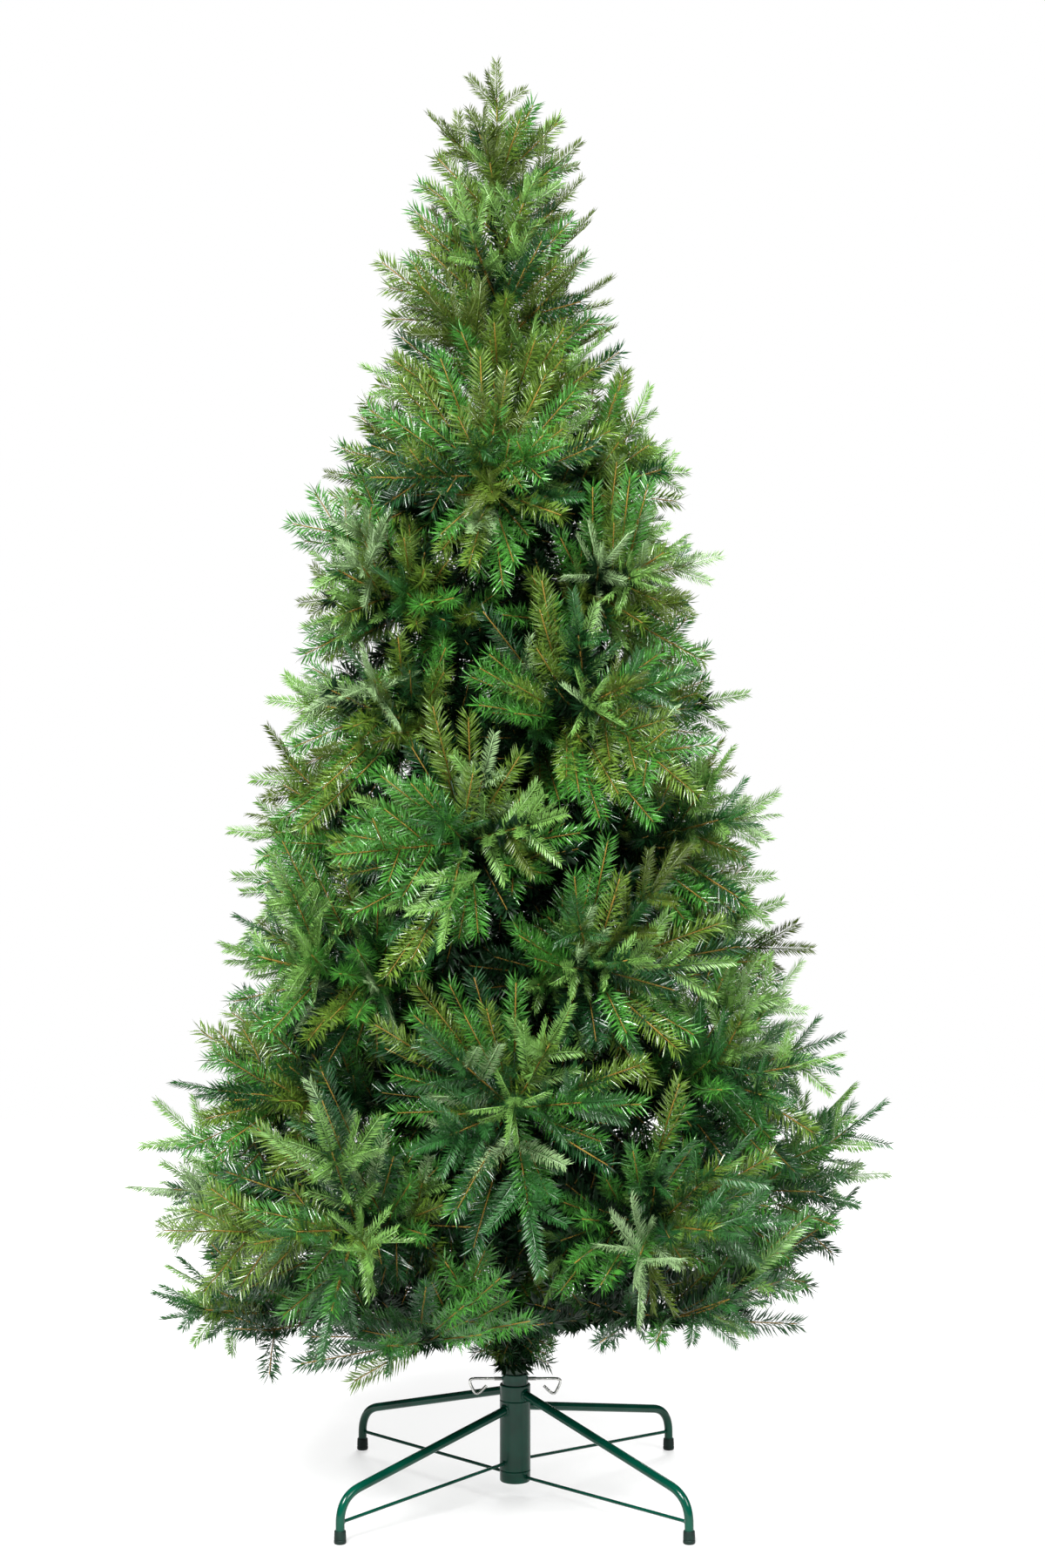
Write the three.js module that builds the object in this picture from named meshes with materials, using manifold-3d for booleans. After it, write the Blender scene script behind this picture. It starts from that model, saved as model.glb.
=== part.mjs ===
// An artificial fir on a folding four-legged steel stand, in millimetres, +Z up.
// The origin is on the floor under the stand's tube, and the front faces -Y.
import * as THREE from "three";
import { mergeVertices } from "three/addons/utils/BufferGeometryUtils.js";
import Module from "manifold-3d";

const wasm = await Module();
wasm.setup();

// General sizes
const GAP = 0.3;
const WELD_TOLERANCE = 0.001;
const TREE_HEIGHT = 2100;
const LEAN_DEGREES = 0.8;
const LEAN_PIVOT_HEIGHT = 98;

// Stand tube, its two welded rings and the turning sleeve between them
const TUBE_RADIUS = 19.2;
const TUBE_BORE_RADIUS = 17.4;
const RING_RADIUS = 22.5;
const TUBE_BOTTOM = 19;
const TUBE_TOP = 176;
const TUBE_FLOOR = 3;
const LOWER_RING_TOP = 36;
const UPPER_RING_BOTTOM = 138;
const UPPER_RING_TOP = 160.5;
const TUBE_SIDES = 16;

// Legs, brace rods and foot caps
const FOOT_RADIUS_FROM_AXIS = 337;
const LEG_RADIUS = 6.3;
const LEG_CORNER_HEIGHT = 63;
const LEG_BEND_LENGTH = 36;
const FIXED_LEG_HEIGHT = 148;
const TURNING_LEG_HEIGHT = 125;
const LEG_STEPS = 34;
const BRACE_RADIUS = 2.4;
const ROD_SIDES = 8;
const SIMPLIFY_TOLERANCE = 0.02;
const BRACE_FOOT_HEIGHT = 29;
const BRACE_SEAT_GAP = 0.6;
const FIXED_BRACE_HEIGHT = 28;
const TURNING_BRACE_HEIGHT = 48;
const CAP_RADIUS = 8.6;
const CAP_TOP_RADIUS = 7.9;
const CAP_HEIGHT = 18;
const CAP_FLOOR = 4;
const CAP_BORE_RADIUS = 6.85;
const CAP_EDGE = 1.6;
const CAP_SIDES = 12;

// Thumbscrews that clamp the pole
const SCREW_HEIGHT = 168;
const SCREW_RADIUS = 2.9;
const SCREW_HOLE_RADIUS = 3.5;
const SCREW_SHANK_END = 31;
const SCREW_WIRE_RADIUS = 2.1;
const SCREW_WIRE_STEPS = 16;
const SCREW_REACH = 66;
const SCREW_DROP = 21;
const SCREW_WIRE_SINK = 4;
const SCREW_SIDES = 10;
const SCREW_HOLE_SIDES = 12;
const SCREW_WIRE_SIDES = 6;
const SCREW_HANDLE = [
  { inward: 8, down: 0 },
  { inward: 0, down: 5 },
  { inward: 8, down: SCREW_DROP },
  { inward: 14, down: SCREW_DROP - 1 },
  { inward: 24, down: SCREW_DROP / 2 },
];

// Pole in three pushed-together lengths with a branch bracket at each tier
const POLE_RADII = [15.5, 13.5, 10.5];
const POLE_JOINTS = [760, 1320];
const POLE_TOP = 1540;
const POLE_SEAT_GAP = 0.6;
const POLE_SIDES = 14;
const BRACKET_RIM = 4.5;
const BRACKET_HALF_HEIGHT = 10;

// Tiers of branches: height on the pole, count, first heading, rise, reach and tilt, a rise towards +X
const TIERS = [
  { height: 255, count: 6, turn: 8, rise: 8, reach: 535, tilt: 3 },
  { height: 388, count: 6, turn: 0, rise: 9, reach: 562, tilt: 0 },
  { height: 540, count: 5, turn: 54, rise: 12, reach: 512, tilt: 2 },
  { height: 712, count: 4, turn: 30, rise: 15, reach: 462, tilt: 2 },
  { height: 890, count: 4, turn: 75, rise: 18, reach: 408, tilt: 0 },
  { height: 1068, count: 4, turn: 30, rise: 21, reach: 356, tilt: 0 },
  { height: 1236, count: 3, turn: 85, rise: 25, reach: 312, tilt: 2 },
  { height: 1400, count: 3, turn: 20, rise: 28, reach: 272, tilt: 2 },
];
const HEADING_JITTER = 5;
const REACH_JITTER = 0.05;
const STEM_SEGMENTS = 3;
const STEM_SIDES = 3;
const STEM_BOW_SHARE = 0.025;
const STEM_BASE_RADIUS = 5;
const STEM_MIDDLE_RADIUS = 15;
const STEM_END_RADIUS = 7;
const BOUGH_TIER = 0;
const BOUGH_LENGTH = 150;
const BOUGH_BASE_RADIUS = 6.2;
const BOUGH_SIDES = 7;

// Sprigs: five-fingered sprays of needles
const SPRIG_REACH_SHARE = 0.7;
const SPRIG_SHORTEST = 200;
const SPRIG_LONGEST = 330;
const END_SIZE = 0.56;
const END_SINK = 10;
const UPRIGHT_SIZE = 0.8;
const WHORLS = [
  { share: 0.92, open: 52, round: [0, 65, 130, 195, 280], roll: 20 },
  { share: 0.55, open: 62, round: [-15, 35, 90, 145, 195, 270], roll: 20 },
  { share: 0.75, open: 56, round: [10, 100, 170, 250], roll: 20 },
  { share: 0.22, open: 66, round: [40, 140], roll: 20 },
];
const BOUGH_WHORLS = [
  { share: 0.9, open: 46, round: [0, 60, 120, 180], roll: 35 },
  { share: 0.5, open: 60, round: [0, 50, 130, 180, 90], roll: 35 },
  { share: 0.12, open: 76, round: [10, 60, 120, 170], roll: 35 },
];
const FIRST_FINGER = { from: 0.3, angle: 44, length: 0.44 };
const SECOND_FINGER = { from: 0.54, angle: 38, length: 0.35 };
const FIRST_NOTCH = { along: 0.57, across: 0.21 };
const SECOND_NOTCH = { along: 0.77, across: 0.145 };
const RIDGE_TOP = 0.42;
const SPRIG_HALF_THICKNESS = 0.062;
const CELL_MARGIN = 2;
const SPRIG_SPACING = 27;
const TRUNK_CLEARANCE = 34;
const CROWN_FLOOR = 280;
const CROWN_FLOOR_SLOPE = -0.2;
const CROWN_FLOOR_TILT = 0.1;
const CROWN_OUTLINE = [
  { height: 205, radius: 500 },
  { height: 320, radius: 548 },
  { height: 500, radius: 585 },
  { height: 780, radius: 475 },
  { height: 1250, radius: 345 },
  { height: 1500, radius: 292 },
  { height: 1800, radius: 190 },
  { height: 1950, radius: 162 },
  { height: 2030, radius: 130 },
  { height: 2100, radius: 52 },
];
const PLACING_TRIES = 5;
const SHRINK = 0.88;
const NARROW = 0.95;
const SEED = 2101;
const TIER_SEED_STEP = 101;
const BRANCH_SEED_STEP = 17;
const SHARE_JITTER = 0.04;
const OPEN_JITTER = 8;
const ROUND_JITTER = 12;
const SIZE_JITTER = 0.1;
const ROLL_JITTER = 30;
const END_ROLL = 90;
const END_ROLL_JITTER = 25;
const RIB_TESTS = [0.4, 0.7, 1];

// Leader at the top of the pole
const LEADER_STEM_TOP = 1950;
const LEADER_RINGS = [
  { height: 1556, count: 6, turn: 20, rise: 20, size: 265 },
  { height: 1618, count: 6, turn: 50, rise: 24, size: 240 },
  { height: 1678, count: 6, turn: 75, rise: 22, size: 215 },
  { height: 1735, count: 5, turn: 20, rise: 34, size: 205 },
  { height: 1800, count: 6, turn: 50, rise: 36, size: 190 },
  { height: 1870, count: 5, turn: 36, rise: 30, size: 165 },
  { height: 1922, count: 5, turn: 18, rise: 42, size: 160 },
];
const LEADER_STEM_RADIUS = 6;
const LEADER_MIDDLE_SHARE = 0.4;
const LEADER_HEADING_JITTER = 14;
const LEADER_RISE_JITTER = 8;
const LEADER_ROLL_JITTER = 40;
const LEADER_SIZE_JITTER = 0.08;
const TOP_ROLL = 12;

const radians = THREE.MathUtils.degToRad;
const mix = THREE.MathUtils.lerp;

function seeded(seed) {
  let state = seed >>> 0;
  return () => {
    state = (state + 0x6d2b79f5) >>> 0;
    let mixed = Math.imul(state ^ (state >>> 15), state | 1);
    mixed ^= mixed + Math.imul(mixed ^ (mixed >>> 7), mixed | 61);
    return ((mixed ^ (mixed >>> 14)) >>> 0) / 4294967296;
  };
}

function spread(random, amount) {
  return (2 * random() - 1) * amount;
}

function toSolid(geometry) {
  const flat = geometry.index ? geometry.toNonIndexed() : geometry;
  const bare = new THREE.BufferGeometry();
  bare.setAttribute("position", flat.getAttribute("position"));
  const merged = mergeVertices(bare, WELD_TOLERANCE);
  return new wasm.Manifold(
    new wasm.Mesh({
      numProp: 3,
      vertProperties: merged.attributes.position.array,
      triVerts: new Uint32Array(merged.index.array),
    }),
  );
}

function toGeometry(solid) {
  const mesh = solid.getMesh();
  const geometry = new THREE.BufferGeometry();
  geometry.setAttribute("position", new THREE.BufferAttribute(mesh.vertProperties, 3));
  geometry.setIndex(new THREE.BufferAttribute(mesh.triVerts, 1));
  geometry.computeVertexNormals();
  return geometry;
}

function material(colour, roughness, metalness) {
  return new THREE.MeshStandardMaterial({ color: colour, roughness, metalness });
}

function turned(profile, sides) {
  const points = profile.map(([radius, height]) => new THREE.Vector2(radius, height));
  const geometry = new THREE.LatheGeometry(points, sides);
  geometry.rotateX(Math.PI / 2);
  return geometry;
}

function rod(path, radius, steps, sides) {
  const section = new THREE.Shape();
  section.absarc(0, 0, radius, 0, 2 * Math.PI);
  return new THREE.ExtrudeGeometry(section, {
    extrudePath: path,
    steps,
    curveSegments: sides / 2,
  });
}

// A tapering limb through points that lie in one plane square to the side direction.
function limb(points, radii, sides, side) {
  const rings = points.map((point, index) => {
    const before = points[Math.max(index - 1, 0)];
    const after = points[Math.min(index + 1, points.length - 1)];
    const along = after.clone().sub(before).normalize();
    const up = along.clone().cross(side).normalize();
    return Array.from({ length: sides }, (_, corner) => {
      const angle = (2 * Math.PI * corner) / sides + Math.PI / 2;
      return point
        .clone()
        .addScaledVector(side, radii[index] * Math.cos(angle))
        .addScaledVector(up, radii[index] * Math.sin(angle));
    });
  });
  const faces = [];
  for (let ring = 0; ring + 1 < rings.length; ring += 1) {
    for (let corner = 0; corner < sides; corner += 1) {
      const next = (corner + 1) % sides;
      const [a, b] = [rings[ring][corner], rings[ring][next]];
      const [c, d] = [rings[ring + 1][corner], rings[ring + 1][next]];
      faces.push(a, b, d, a, d, c);
    }
  }
  const last = rings[rings.length - 1];
  for (let corner = 1; corner + 1 < sides; corner += 1) {
    faces.push(rings[0][0], rings[0][corner + 1], rings[0][corner]);
    faces.push(last[0], last[corner], last[corner + 1]);
  }
  return new THREE.BufferGeometry().setFromPoints(faces);
}

function fingerTip(finger) {
  const angle = radians(finger.angle);
  return {
    along: finger.from + finger.length * Math.cos(angle),
    across: finger.length * Math.sin(angle),
  };
}

// The flat outline of a sprig of unit length, from its root round one side to its end.
const OUTLINE = [
  { along: 0, across: 0 },
  fingerTip(FIRST_FINGER),
  FIRST_NOTCH,
  fingerTip(SECOND_FINGER),
  SECOND_NOTCH,
  { along: 1, across: 0 },
];

// A point of a sprig: along its axis, across its blade and out of its blade.
function sprigPoint(sprig, along, across, out) {
  return sprig.root
    .clone()
    .addScaledVector(sprig.axis, along * sprig.length)
    .addScaledVector(sprig.across, across * sprig.length)
    .addScaledVector(sprig.normal, out * sprig.length);
}

// A toothed blade with a raised middle on both faces.
function blade(sprig) {
  const faces = [];
  for (const face of [1, -1]) {
    const middle = sprigPoint(sprig, RIDGE_TOP, 0, face * SPRIG_HALF_THICKNESS);
    for (const hand of [1, -1]) {
      const edge = OUTLINE.map((point) => sprigPoint(sprig, point.along, hand * point.across, 0));
      for (let index = 0; index + 1 < edge.length; index += 1) {
        if (face * hand > 0) faces.push(edge[index], middle, edge[index + 1]);
        else faces.push(edge[index], edge[index + 1], middle);
      }
    }
  }
  return new THREE.BufferGeometry().setFromPoints(faces);
}

// Where a stem is at a share of its length, and which way it runs there.
function along(stem, share) {
  const place = Math.min(share, 0.9999) * (stem.points.length - 1);
  const index = Math.floor(place);
  const [a, b] = [stem.points[index], stem.points[index + 1]];
  return {
    point: a.clone().lerp(b, place - index),
    forward: b.clone().sub(a).normalize(),
  };
}

function distanceTo(stem, point) {
  let nearest = Infinity;
  for (let index = 0; index + 1 < stem.points.length; index += 1) {
    const closest = new THREE.Vector3();
    new THREE.Line3(stem.points[index], stem.points[index + 1]).closestPointToPoint(point, true, closest);
    nearest = Math.min(nearest, closest.distanceTo(point));
  }
  return nearest;
}

function poleRadius(height) {
  const section = POLE_JOINTS.filter((joint) => height >= joint).length;
  return POLE_RADII[section];
}

function sprigLength(reach) {
  return THREE.MathUtils.clamp(SPRIG_REACH_SHARE * reach, SPRIG_SHORTEST, SPRIG_LONGEST);
}

// One branch: its stem, and its bough where the tier has bare boughs.
function branch(tierIndex, index) {
  const tier = TIERS[tierIndex];
  const random = seeded(SEED + TIER_SEED_STEP * tierIndex + BRANCH_SEED_STEP * index);
  const heading = radians(tier.turn + (360 * index) / tier.count + spread(random, HEADING_JITTER));
  const reach = tier.reach * (1 + spread(random, REACH_JITTER));
  const length = sprigLength(reach);
  const rise = radians(tier.rise + tier.tilt * Math.cos(heading));
  const out = new THREE.Vector3(Math.cos(heading), Math.sin(heading), 0);
  const side = new THREE.Vector3(-Math.sin(heading), Math.cos(heading), 0);
  const hasBough = tierIndex === BOUGH_TIER;
  const baseRadius = hasBough ? BOUGH_BASE_RADIUS : STEM_BASE_RADIUS;
  const bowSlope = hasBough ? 0 : STEM_BOW_SHARE * STEM_SEGMENTS * Math.sin(Math.PI / STEM_SEGMENTS);
  const rootSlope = Math.atan(Math.tan(rise) + bowSlope);
  const start = poleRadius(tier.height) + BRACKET_RIM + GAP + baseRadius * Math.sin(rootSlope);
  const end = reach - END_SIZE * length + END_SINK;
  const at = (share, lift) => {
    const distance = mix(start, end, share);
    const height = tier.height + Math.tan(rise) * (distance - start) + lift;
    return out.clone().multiplyScalar(distance).setZ(height);
  };
  const made = { name: `foliage_${tierIndex + 1}_${index + 1}`, tierIndex, random, length, side };
  if (hasBough) {
    const share = BOUGH_LENGTH / (end - start);
    made.bough = [at(0, 0), at(share, 0)];
    const forward = made.bough[1].clone().sub(made.bough[0]).normalize();
    const first = made.bough[1].clone().addScaledVector(forward, GAP);
    made.points = [first, first.clone().lerp(at(1, 0), 0.5), at(1, 0)];
  } else {
    made.points = Array.from({ length: STEM_SEGMENTS + 1 }, (_, step) => {
      const share = step / STEM_SEGMENTS;
      return at(share, STEM_BOW_SHARE * (end - start) * Math.sin(Math.PI * share));
    });
  }
  return made;
}

// The sprigs a branch would like to carry: one at its end, and whorls that open forwards round it.
function wishes(stem) {
  const random = stem.random;
  const endRoll = END_ROLL + spread(random, END_ROLL_JITTER);
  const list = [{ share: 1, open: 0, round: 0, size: END_SIZE, roll: endRoll, sink: END_SINK }];
  for (const whorl of stem.bough ? BOUGH_WHORLS : WHORLS) {
    for (const round of whorl.round) {
      const upright = Math.abs(Math.sin(radians(round)));
      list.push({
        share: whorl.share + spread(random, SHARE_JITTER),
        open: whorl.open + spread(random, OPEN_JITTER),
        round: round + spread(random, ROUND_JITTER),
        size: mix(1, UPRIGHT_SIZE, upright) + spread(random, SIZE_JITTER),
        roll: whorl.roll * -Math.sign(Math.cos(radians(round))) + spread(random, ROLL_JITTER),
        sink: 0,
      });
    }
  }
  return list;
}

// A sprig standing on a stem, its blade facing along the stem and rolled about its own axis.
function sprigAt(stem, wish, size) {
  const { point, forward } = along(stem, wish.share);
  const up = forward.clone().cross(stem.side).normalize();
  const [open, round, roll] = [radians(wish.open), radians(wish.round), radians(wish.roll)];
  const axis = forward
    .clone()
    .multiplyScalar(Math.cos(open))
    .addScaledVector(stem.side, Math.sin(open) * Math.cos(round))
    .addScaledVector(up, Math.sin(open) * Math.sin(round));
  const facing = wish.open ? forward : stem.side;
  return rolled(point.addScaledVector(axis, -wish.sink), axis, facing, roll, size);
}

function rolled(root, axis, up, roll, length) {
  const level = up.clone().addScaledVector(axis, -up.dot(axis)).normalize();
  const sideways = level.clone().cross(axis);
  const normal = level.multiplyScalar(Math.cos(roll)).addScaledVector(sideways, Math.sin(roll));
  return { root, axis, normal, across: normal.clone().cross(axis), length };
}

// The points that stand for a sprig in tests: its finger tips and its rib.
function testPoints(sprig) {
  const points = RIB_TESTS.map((share) => sprigPoint(sprig, share, 0, 0));
  for (const finger of [FIRST_FINGER, SECOND_FINGER]) {
    const tip = fingerTip(finger);
    for (const hand of [1, -1]) points.push(sprigPoint(sprig, tip.along, hand * tip.across, 0));
  }
  return points;
}

function clearOf(sprig, placed) {
  const points = testPoints(sprig);
  return placed.every((other) =>
    testPoints(other).every((theirs) => points.every((ours) => ours.distanceTo(theirs) > SPRIG_SPACING)),
  );
}

function crownRadius(height) {
  const above = CROWN_OUTLINE.findIndex((row) => row.height >= height);
  if (above < 1) return 0;
  const [low, high] = [CROWN_OUTLINE[above - 1], CROWN_OUTLINE[above]];
  return mix(low.radius, high.radius, (height - low.height) / (high.height - low.height));
}

// The underside is open in front of the stand's socket and hangs lower at the left than at the right.
function crownFloor(point) {
  return CROWN_FLOOR + CROWN_FLOOR_SLOPE * Math.abs(point.x) + CROWN_FLOOR_TILT * point.x;
}

function keepsToItsSpace(sprig, stem, stems) {
  return testPoints(sprig).every((point) => {
    const fromAxis = Math.hypot(point.x, point.y);
    if (point.z < crownFloor(point)) return false;
    if (fromAxis > crownRadius(point.z)) return false;
    if (point.z < POLE_TOP && fromAxis < TRUNK_CLEARANCE) return false;
    const own = distanceTo(stem, point) + CELL_MARGIN;
    return stems.every((other) => other === stem || distanceTo(other, point) > own);
  });
}

// A sprig is drawn in and shortened until it fits its space, or skipped.
function placeSprig(make, size, stem, stems, placed) {
  for (let tries = 0; tries < PLACING_TRIES; tries += 1) {
    const sprig = make(size * SHRINK ** tries, NARROW ** tries);
    if (clearOf(sprig, placed) && keepsToItsSpace(sprig, stem, stems)) {
      placed.push(sprig);
      return;
    }
  }
}

function sprigsOf(stem, stems) {
  const placed = [];
  for (const wish of wishes(stem)) {
    const make = (size, narrow) => sprigAt(stem, { ...wish, open: wish.open * narrow }, size);
    placeSprig(make, wish.size * stem.length, stem, stems, placed);
  }
  return placed;
}

function leaderStem() {
  const side = new THREE.Vector3(1, 0, 0);
  const bottom = new THREE.Vector3(0, 0, POLE_TOP + GAP);
  const top = new THREE.Vector3(0, 0, LEADER_STEM_TOP);
  const middle = bottom.clone().lerp(top, LEADER_MIDDLE_SHARE);
  return { name: "foliage_top", points: [bottom, middle, top], side, random: seeded(SEED) };
}

function leaderSprigs(stem, stems) {
  const up = new THREE.Vector3(0, 0, 1);
  const crown = stem.points[2].clone().addScaledVector(up, -END_SINK);
  const front = new THREE.Vector3(0, -1, 0);
  const topLength = TREE_HEIGHT - LEADER_STEM_TOP + END_SINK;
  const placed = [rolled(crown, up, front, radians(TOP_ROLL), topLength)];
  for (const ring of LEADER_RINGS) {
    for (let index = 0; index < ring.count; index += 1) {
      const turn = ring.turn + (360 * index) / ring.count;
      const heading = radians(turn + spread(stem.random, LEADER_HEADING_JITTER));
      const rise = radians(ring.rise + spread(stem.random, LEADER_RISE_JITTER));
      const roll = radians(spread(stem.random, LEADER_ROLL_JITTER));
      const axis = new THREE.Vector3(
        Math.cos(heading) * Math.cos(rise),
        Math.sin(heading) * Math.cos(rise),
        Math.sin(rise),
      );
      const root = new THREE.Vector3(0, 0, ring.height);
      const size = ring.size * (1 + spread(stem.random, LEADER_SIZE_JITTER));
      const make = (length) => rolled(root, axis, up, roll, length);
      placeSprig(make, size, stem, stems, placed);
    }
  }
  return placed;
}

// Stem and sprigs fused into one body.
function mass(stem, sprigs) {
  const last = stem.points.length - 1;
  const base = stem.baseRadius ?? STEM_BASE_RADIUS;
  const radii = stem.points.map(() => STEM_MIDDLE_RADIUS);
  radii[0] = base;
  radii[last] = STEM_END_RADIUS;
  let solid = toSolid(limb(stem.points, radii, STEM_SIDES, stem.side));
  for (const sprig of sprigs) solid = solid.add(toSolid(blade(sprig)));
  const bodies = solid.decompose().sort((a, b) => b.volume() - a.volume());
  return toGeometry(bodies[0]);
}

const part = new THREE.Group();
const tree = new THREE.Group();
tree.position.set(0, 0, LEAN_PIVOT_HEIGHT);
tree.rotation.set(0, -radians(LEAN_DEGREES), 0);
part.add(tree);

function addToStand(name, geometry, look) {
  const mesh = new THREE.Mesh(geometry, look);
  mesh.name = name;
  part.add(mesh);
}

function addToTree(name, geometry, look) {
  const mesh = new THREE.Mesh(geometry, look);
  mesh.name = name;
  mesh.position.set(0, 0, -LEAN_PIVOT_HEIGHT);
  tree.add(mesh);
}

const GREEN_PAINT = [0x0c4a36, 0.28, 0.2];
const RUBBER = [0x10231b, 0.6, 0];
const CHROME = [0xb9bcb8, 0.2, 1];
const POLE_PAINT = [0x1d3a24, 0.5, 0.1];
const BOUGH_WRAP = [0x3a3a20, 0.7, 0];
const NEEDLES = [0x4f7040, 0.65, 0];

// Stand tube with its rings and screw holes
const tubeProfile = [
  [0, TUBE_BOTTOM],
  [RING_RADIUS, TUBE_BOTTOM],
  [RING_RADIUS, LOWER_RING_TOP],
  [TUBE_RADIUS, LOWER_RING_TOP],
  [TUBE_RADIUS, UPPER_RING_BOTTOM],
  [RING_RADIUS, UPPER_RING_BOTTOM],
  [RING_RADIUS, UPPER_RING_TOP],
  [TUBE_RADIUS, UPPER_RING_TOP],
  [TUBE_RADIUS, TUBE_TOP],
  [TUBE_BORE_RADIUS, TUBE_TOP],
  [TUBE_BORE_RADIUS, TUBE_BOTTOM + TUBE_FLOOR],
  [0, TUBE_BOTTOM + TUBE_FLOOR],
];
const screws = [
  { name: "thumb_screw_right", heading: 0 },
  { name: "thumb_screw_back", heading: 90 },
  { name: "thumb_screw_left", heading: 180 },
];
let tube = toSolid(turned(tubeProfile, TUBE_SIDES));
for (const screw of screws) {
  const holeSizes = [SCREW_HOLE_RADIUS, SCREW_HOLE_RADIUS, TUBE_RADIUS, SCREW_HOLE_SIDES];
  const hole = new THREE.CylinderGeometry(...holeSizes);
  hole.rotateZ(Math.PI / 2);
  hole.translate(TUBE_RADIUS, 0, SCREW_HEIGHT);
  hole.rotateZ(radians(screw.heading));
  tube = tube.subtract(toSolid(hole));
}
addToStand("stand_tube", toGeometry(tube), material(...GREEN_PAINT));

const sleeveProfile = [
  [TUBE_RADIUS + GAP, LOWER_RING_TOP + GAP],
  [RING_RADIUS, LOWER_RING_TOP + GAP],
  [RING_RADIUS, UPPER_RING_BOTTOM - GAP],
  [TUBE_RADIUS + GAP, UPPER_RING_BOTTOM - GAP],
  [TUBE_RADIUS + GAP, LOWER_RING_TOP + GAP],
];
addToStand("stand_sleeve", turned(sleeveProfile, TUBE_SIDES), material(...GREEN_PAINT));

// Legs, braces and caps, drawn in the XZ plane and turned to their heading
function legPath(weldHeight) {
  const weld = new THREE.Vector3(RING_RADIUS + GAP, 0, weldHeight);
  const corner = new THREE.Vector3(FOOT_RADIUS_FROM_AXIS, 0, LEG_CORNER_HEIGHT);
  const foot = new THREE.Vector3(FOOT_RADIUS_FROM_AXIS, 0, CAP_FLOOR + GAP);
  const slope = corner.clone().sub(weld).normalize();
  weld.addScaledVector(slope, LEG_RADIUS * Math.abs(slope.z));
  const bendStart = corner.clone().addScaledVector(slope, -LEG_BEND_LENGTH);
  const bendEnd = corner.clone().setZ(LEG_CORNER_HEIGHT - LEG_BEND_LENGTH);
  const path = new THREE.CurvePath();
  path.add(new THREE.LineCurve3(weld, bendStart));
  path.add(new THREE.QuadraticBezierCurve3(bendStart, corner, bendEnd));
  path.add(new THREE.LineCurve3(bendEnd, foot));
  return path;
}

const capProfile = [
  [0, 0],
  [CAP_RADIUS - CAP_EDGE, 0],
  [CAP_RADIUS, CAP_EDGE],
  [CAP_TOP_RADIUS, CAP_HEIGHT],
  [CAP_BORE_RADIUS, CAP_HEIGHT],
  [CAP_BORE_RADIUS, CAP_FLOOR],
  [0, CAP_FLOOR],
];
const legs = [
  { place: "front_right", heading: -45, weld: FIXED_LEG_HEIGHT, brace: FIXED_BRACE_HEIGHT },
  { place: "back_left", heading: 135, weld: FIXED_LEG_HEIGHT, brace: FIXED_BRACE_HEIGHT },
  { place: "front_left", heading: -135, weld: TURNING_LEG_HEIGHT, brace: TURNING_BRACE_HEIGHT },
  { place: "back_right", heading: 45, weld: TURNING_LEG_HEIGHT, brace: TURNING_BRACE_HEIGHT },
];
for (const leg of legs) {
  const turn = radians(leg.heading);
  const legSolid = toSolid(rod(legPath(leg.weld), LEG_RADIUS, LEG_STEPS, ROD_SIDES)).asOriginal();
  const legShape = toGeometry(legSolid.simplify(SIMPLIFY_TOLERANCE));
  legShape.rotateZ(turn);
  addToStand(`leg_${leg.place}`, legShape, material(...GREEN_PAINT));

  const inner = new THREE.Vector3(RING_RADIUS + GAP, 0, leg.brace);
  const outer = new THREE.Vector3(FOOT_RADIUS_FROM_AXIS - LEG_RADIUS - BRACE_SEAT_GAP, 0, BRACE_FOOT_HEIGHT);
  const slope = outer.clone().sub(inner).normalize();
  inner.addScaledVector(slope, BRACE_RADIUS * Math.abs(slope.z));
  outer.addScaledVector(slope, -BRACE_RADIUS * Math.abs(slope.z));
  const brace = rod(new THREE.LineCurve3(inner, outer), BRACE_RADIUS, 1, ROD_SIDES);
  brace.rotateZ(turn);
  addToStand(`brace_${leg.place}`, brace, material(...GREEN_PAINT));

  const cap = turned(capProfile, CAP_SIDES);
  cap.translate(FOOT_RADIUS_FROM_AXIS, 0, 0);
  cap.rotateZ(turn);
  addToStand(`foot_cap_${leg.place}`, cap, material(...RUBBER));
}

// Thumbscrews: a shank and a wire handle bent to a triangle below it
const poleShift = Math.tan(radians(LEAN_DEGREES)) * (SCREW_HEIGHT - LEAN_PIVOT_HEIGHT);
for (const screw of screws) {
  const turn = radians(screw.heading);
  const tip = POLE_RADII[0] + GAP - poleShift * Math.cos(turn);
  const shank = new THREE.CylinderGeometry(SCREW_RADIUS, SCREW_RADIUS, SCREW_SHANK_END - tip, SCREW_SIDES);
  shank.rotateZ(Math.PI / 2);
  shank.translate((SCREW_SHANK_END + tip) / 2, 0, 0);
  const handle = new THREE.CatmullRomCurve3(
    [
      new THREE.Vector3(SCREW_SHANK_END - SCREW_WIRE_SINK, 0, 0),
      ...SCREW_HANDLE.map((bend) => new THREE.Vector3(SCREW_REACH - bend.inward, 0, -bend.down)),
    ],
    false,
    "centripetal",
  );
  const wire = toSolid(rod(handle, SCREW_WIRE_RADIUS, SCREW_WIRE_STEPS, SCREW_WIRE_SIDES));
  const shape = toGeometry(wire.add(toSolid(shank)).asOriginal().simplify(SIMPLIFY_TOLERANCE));
  shape.translate(0, 0, SCREW_HEIGHT);
  shape.rotateZ(turn);
  addToStand(screw.name, shape, material(...CHROME));
}

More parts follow.
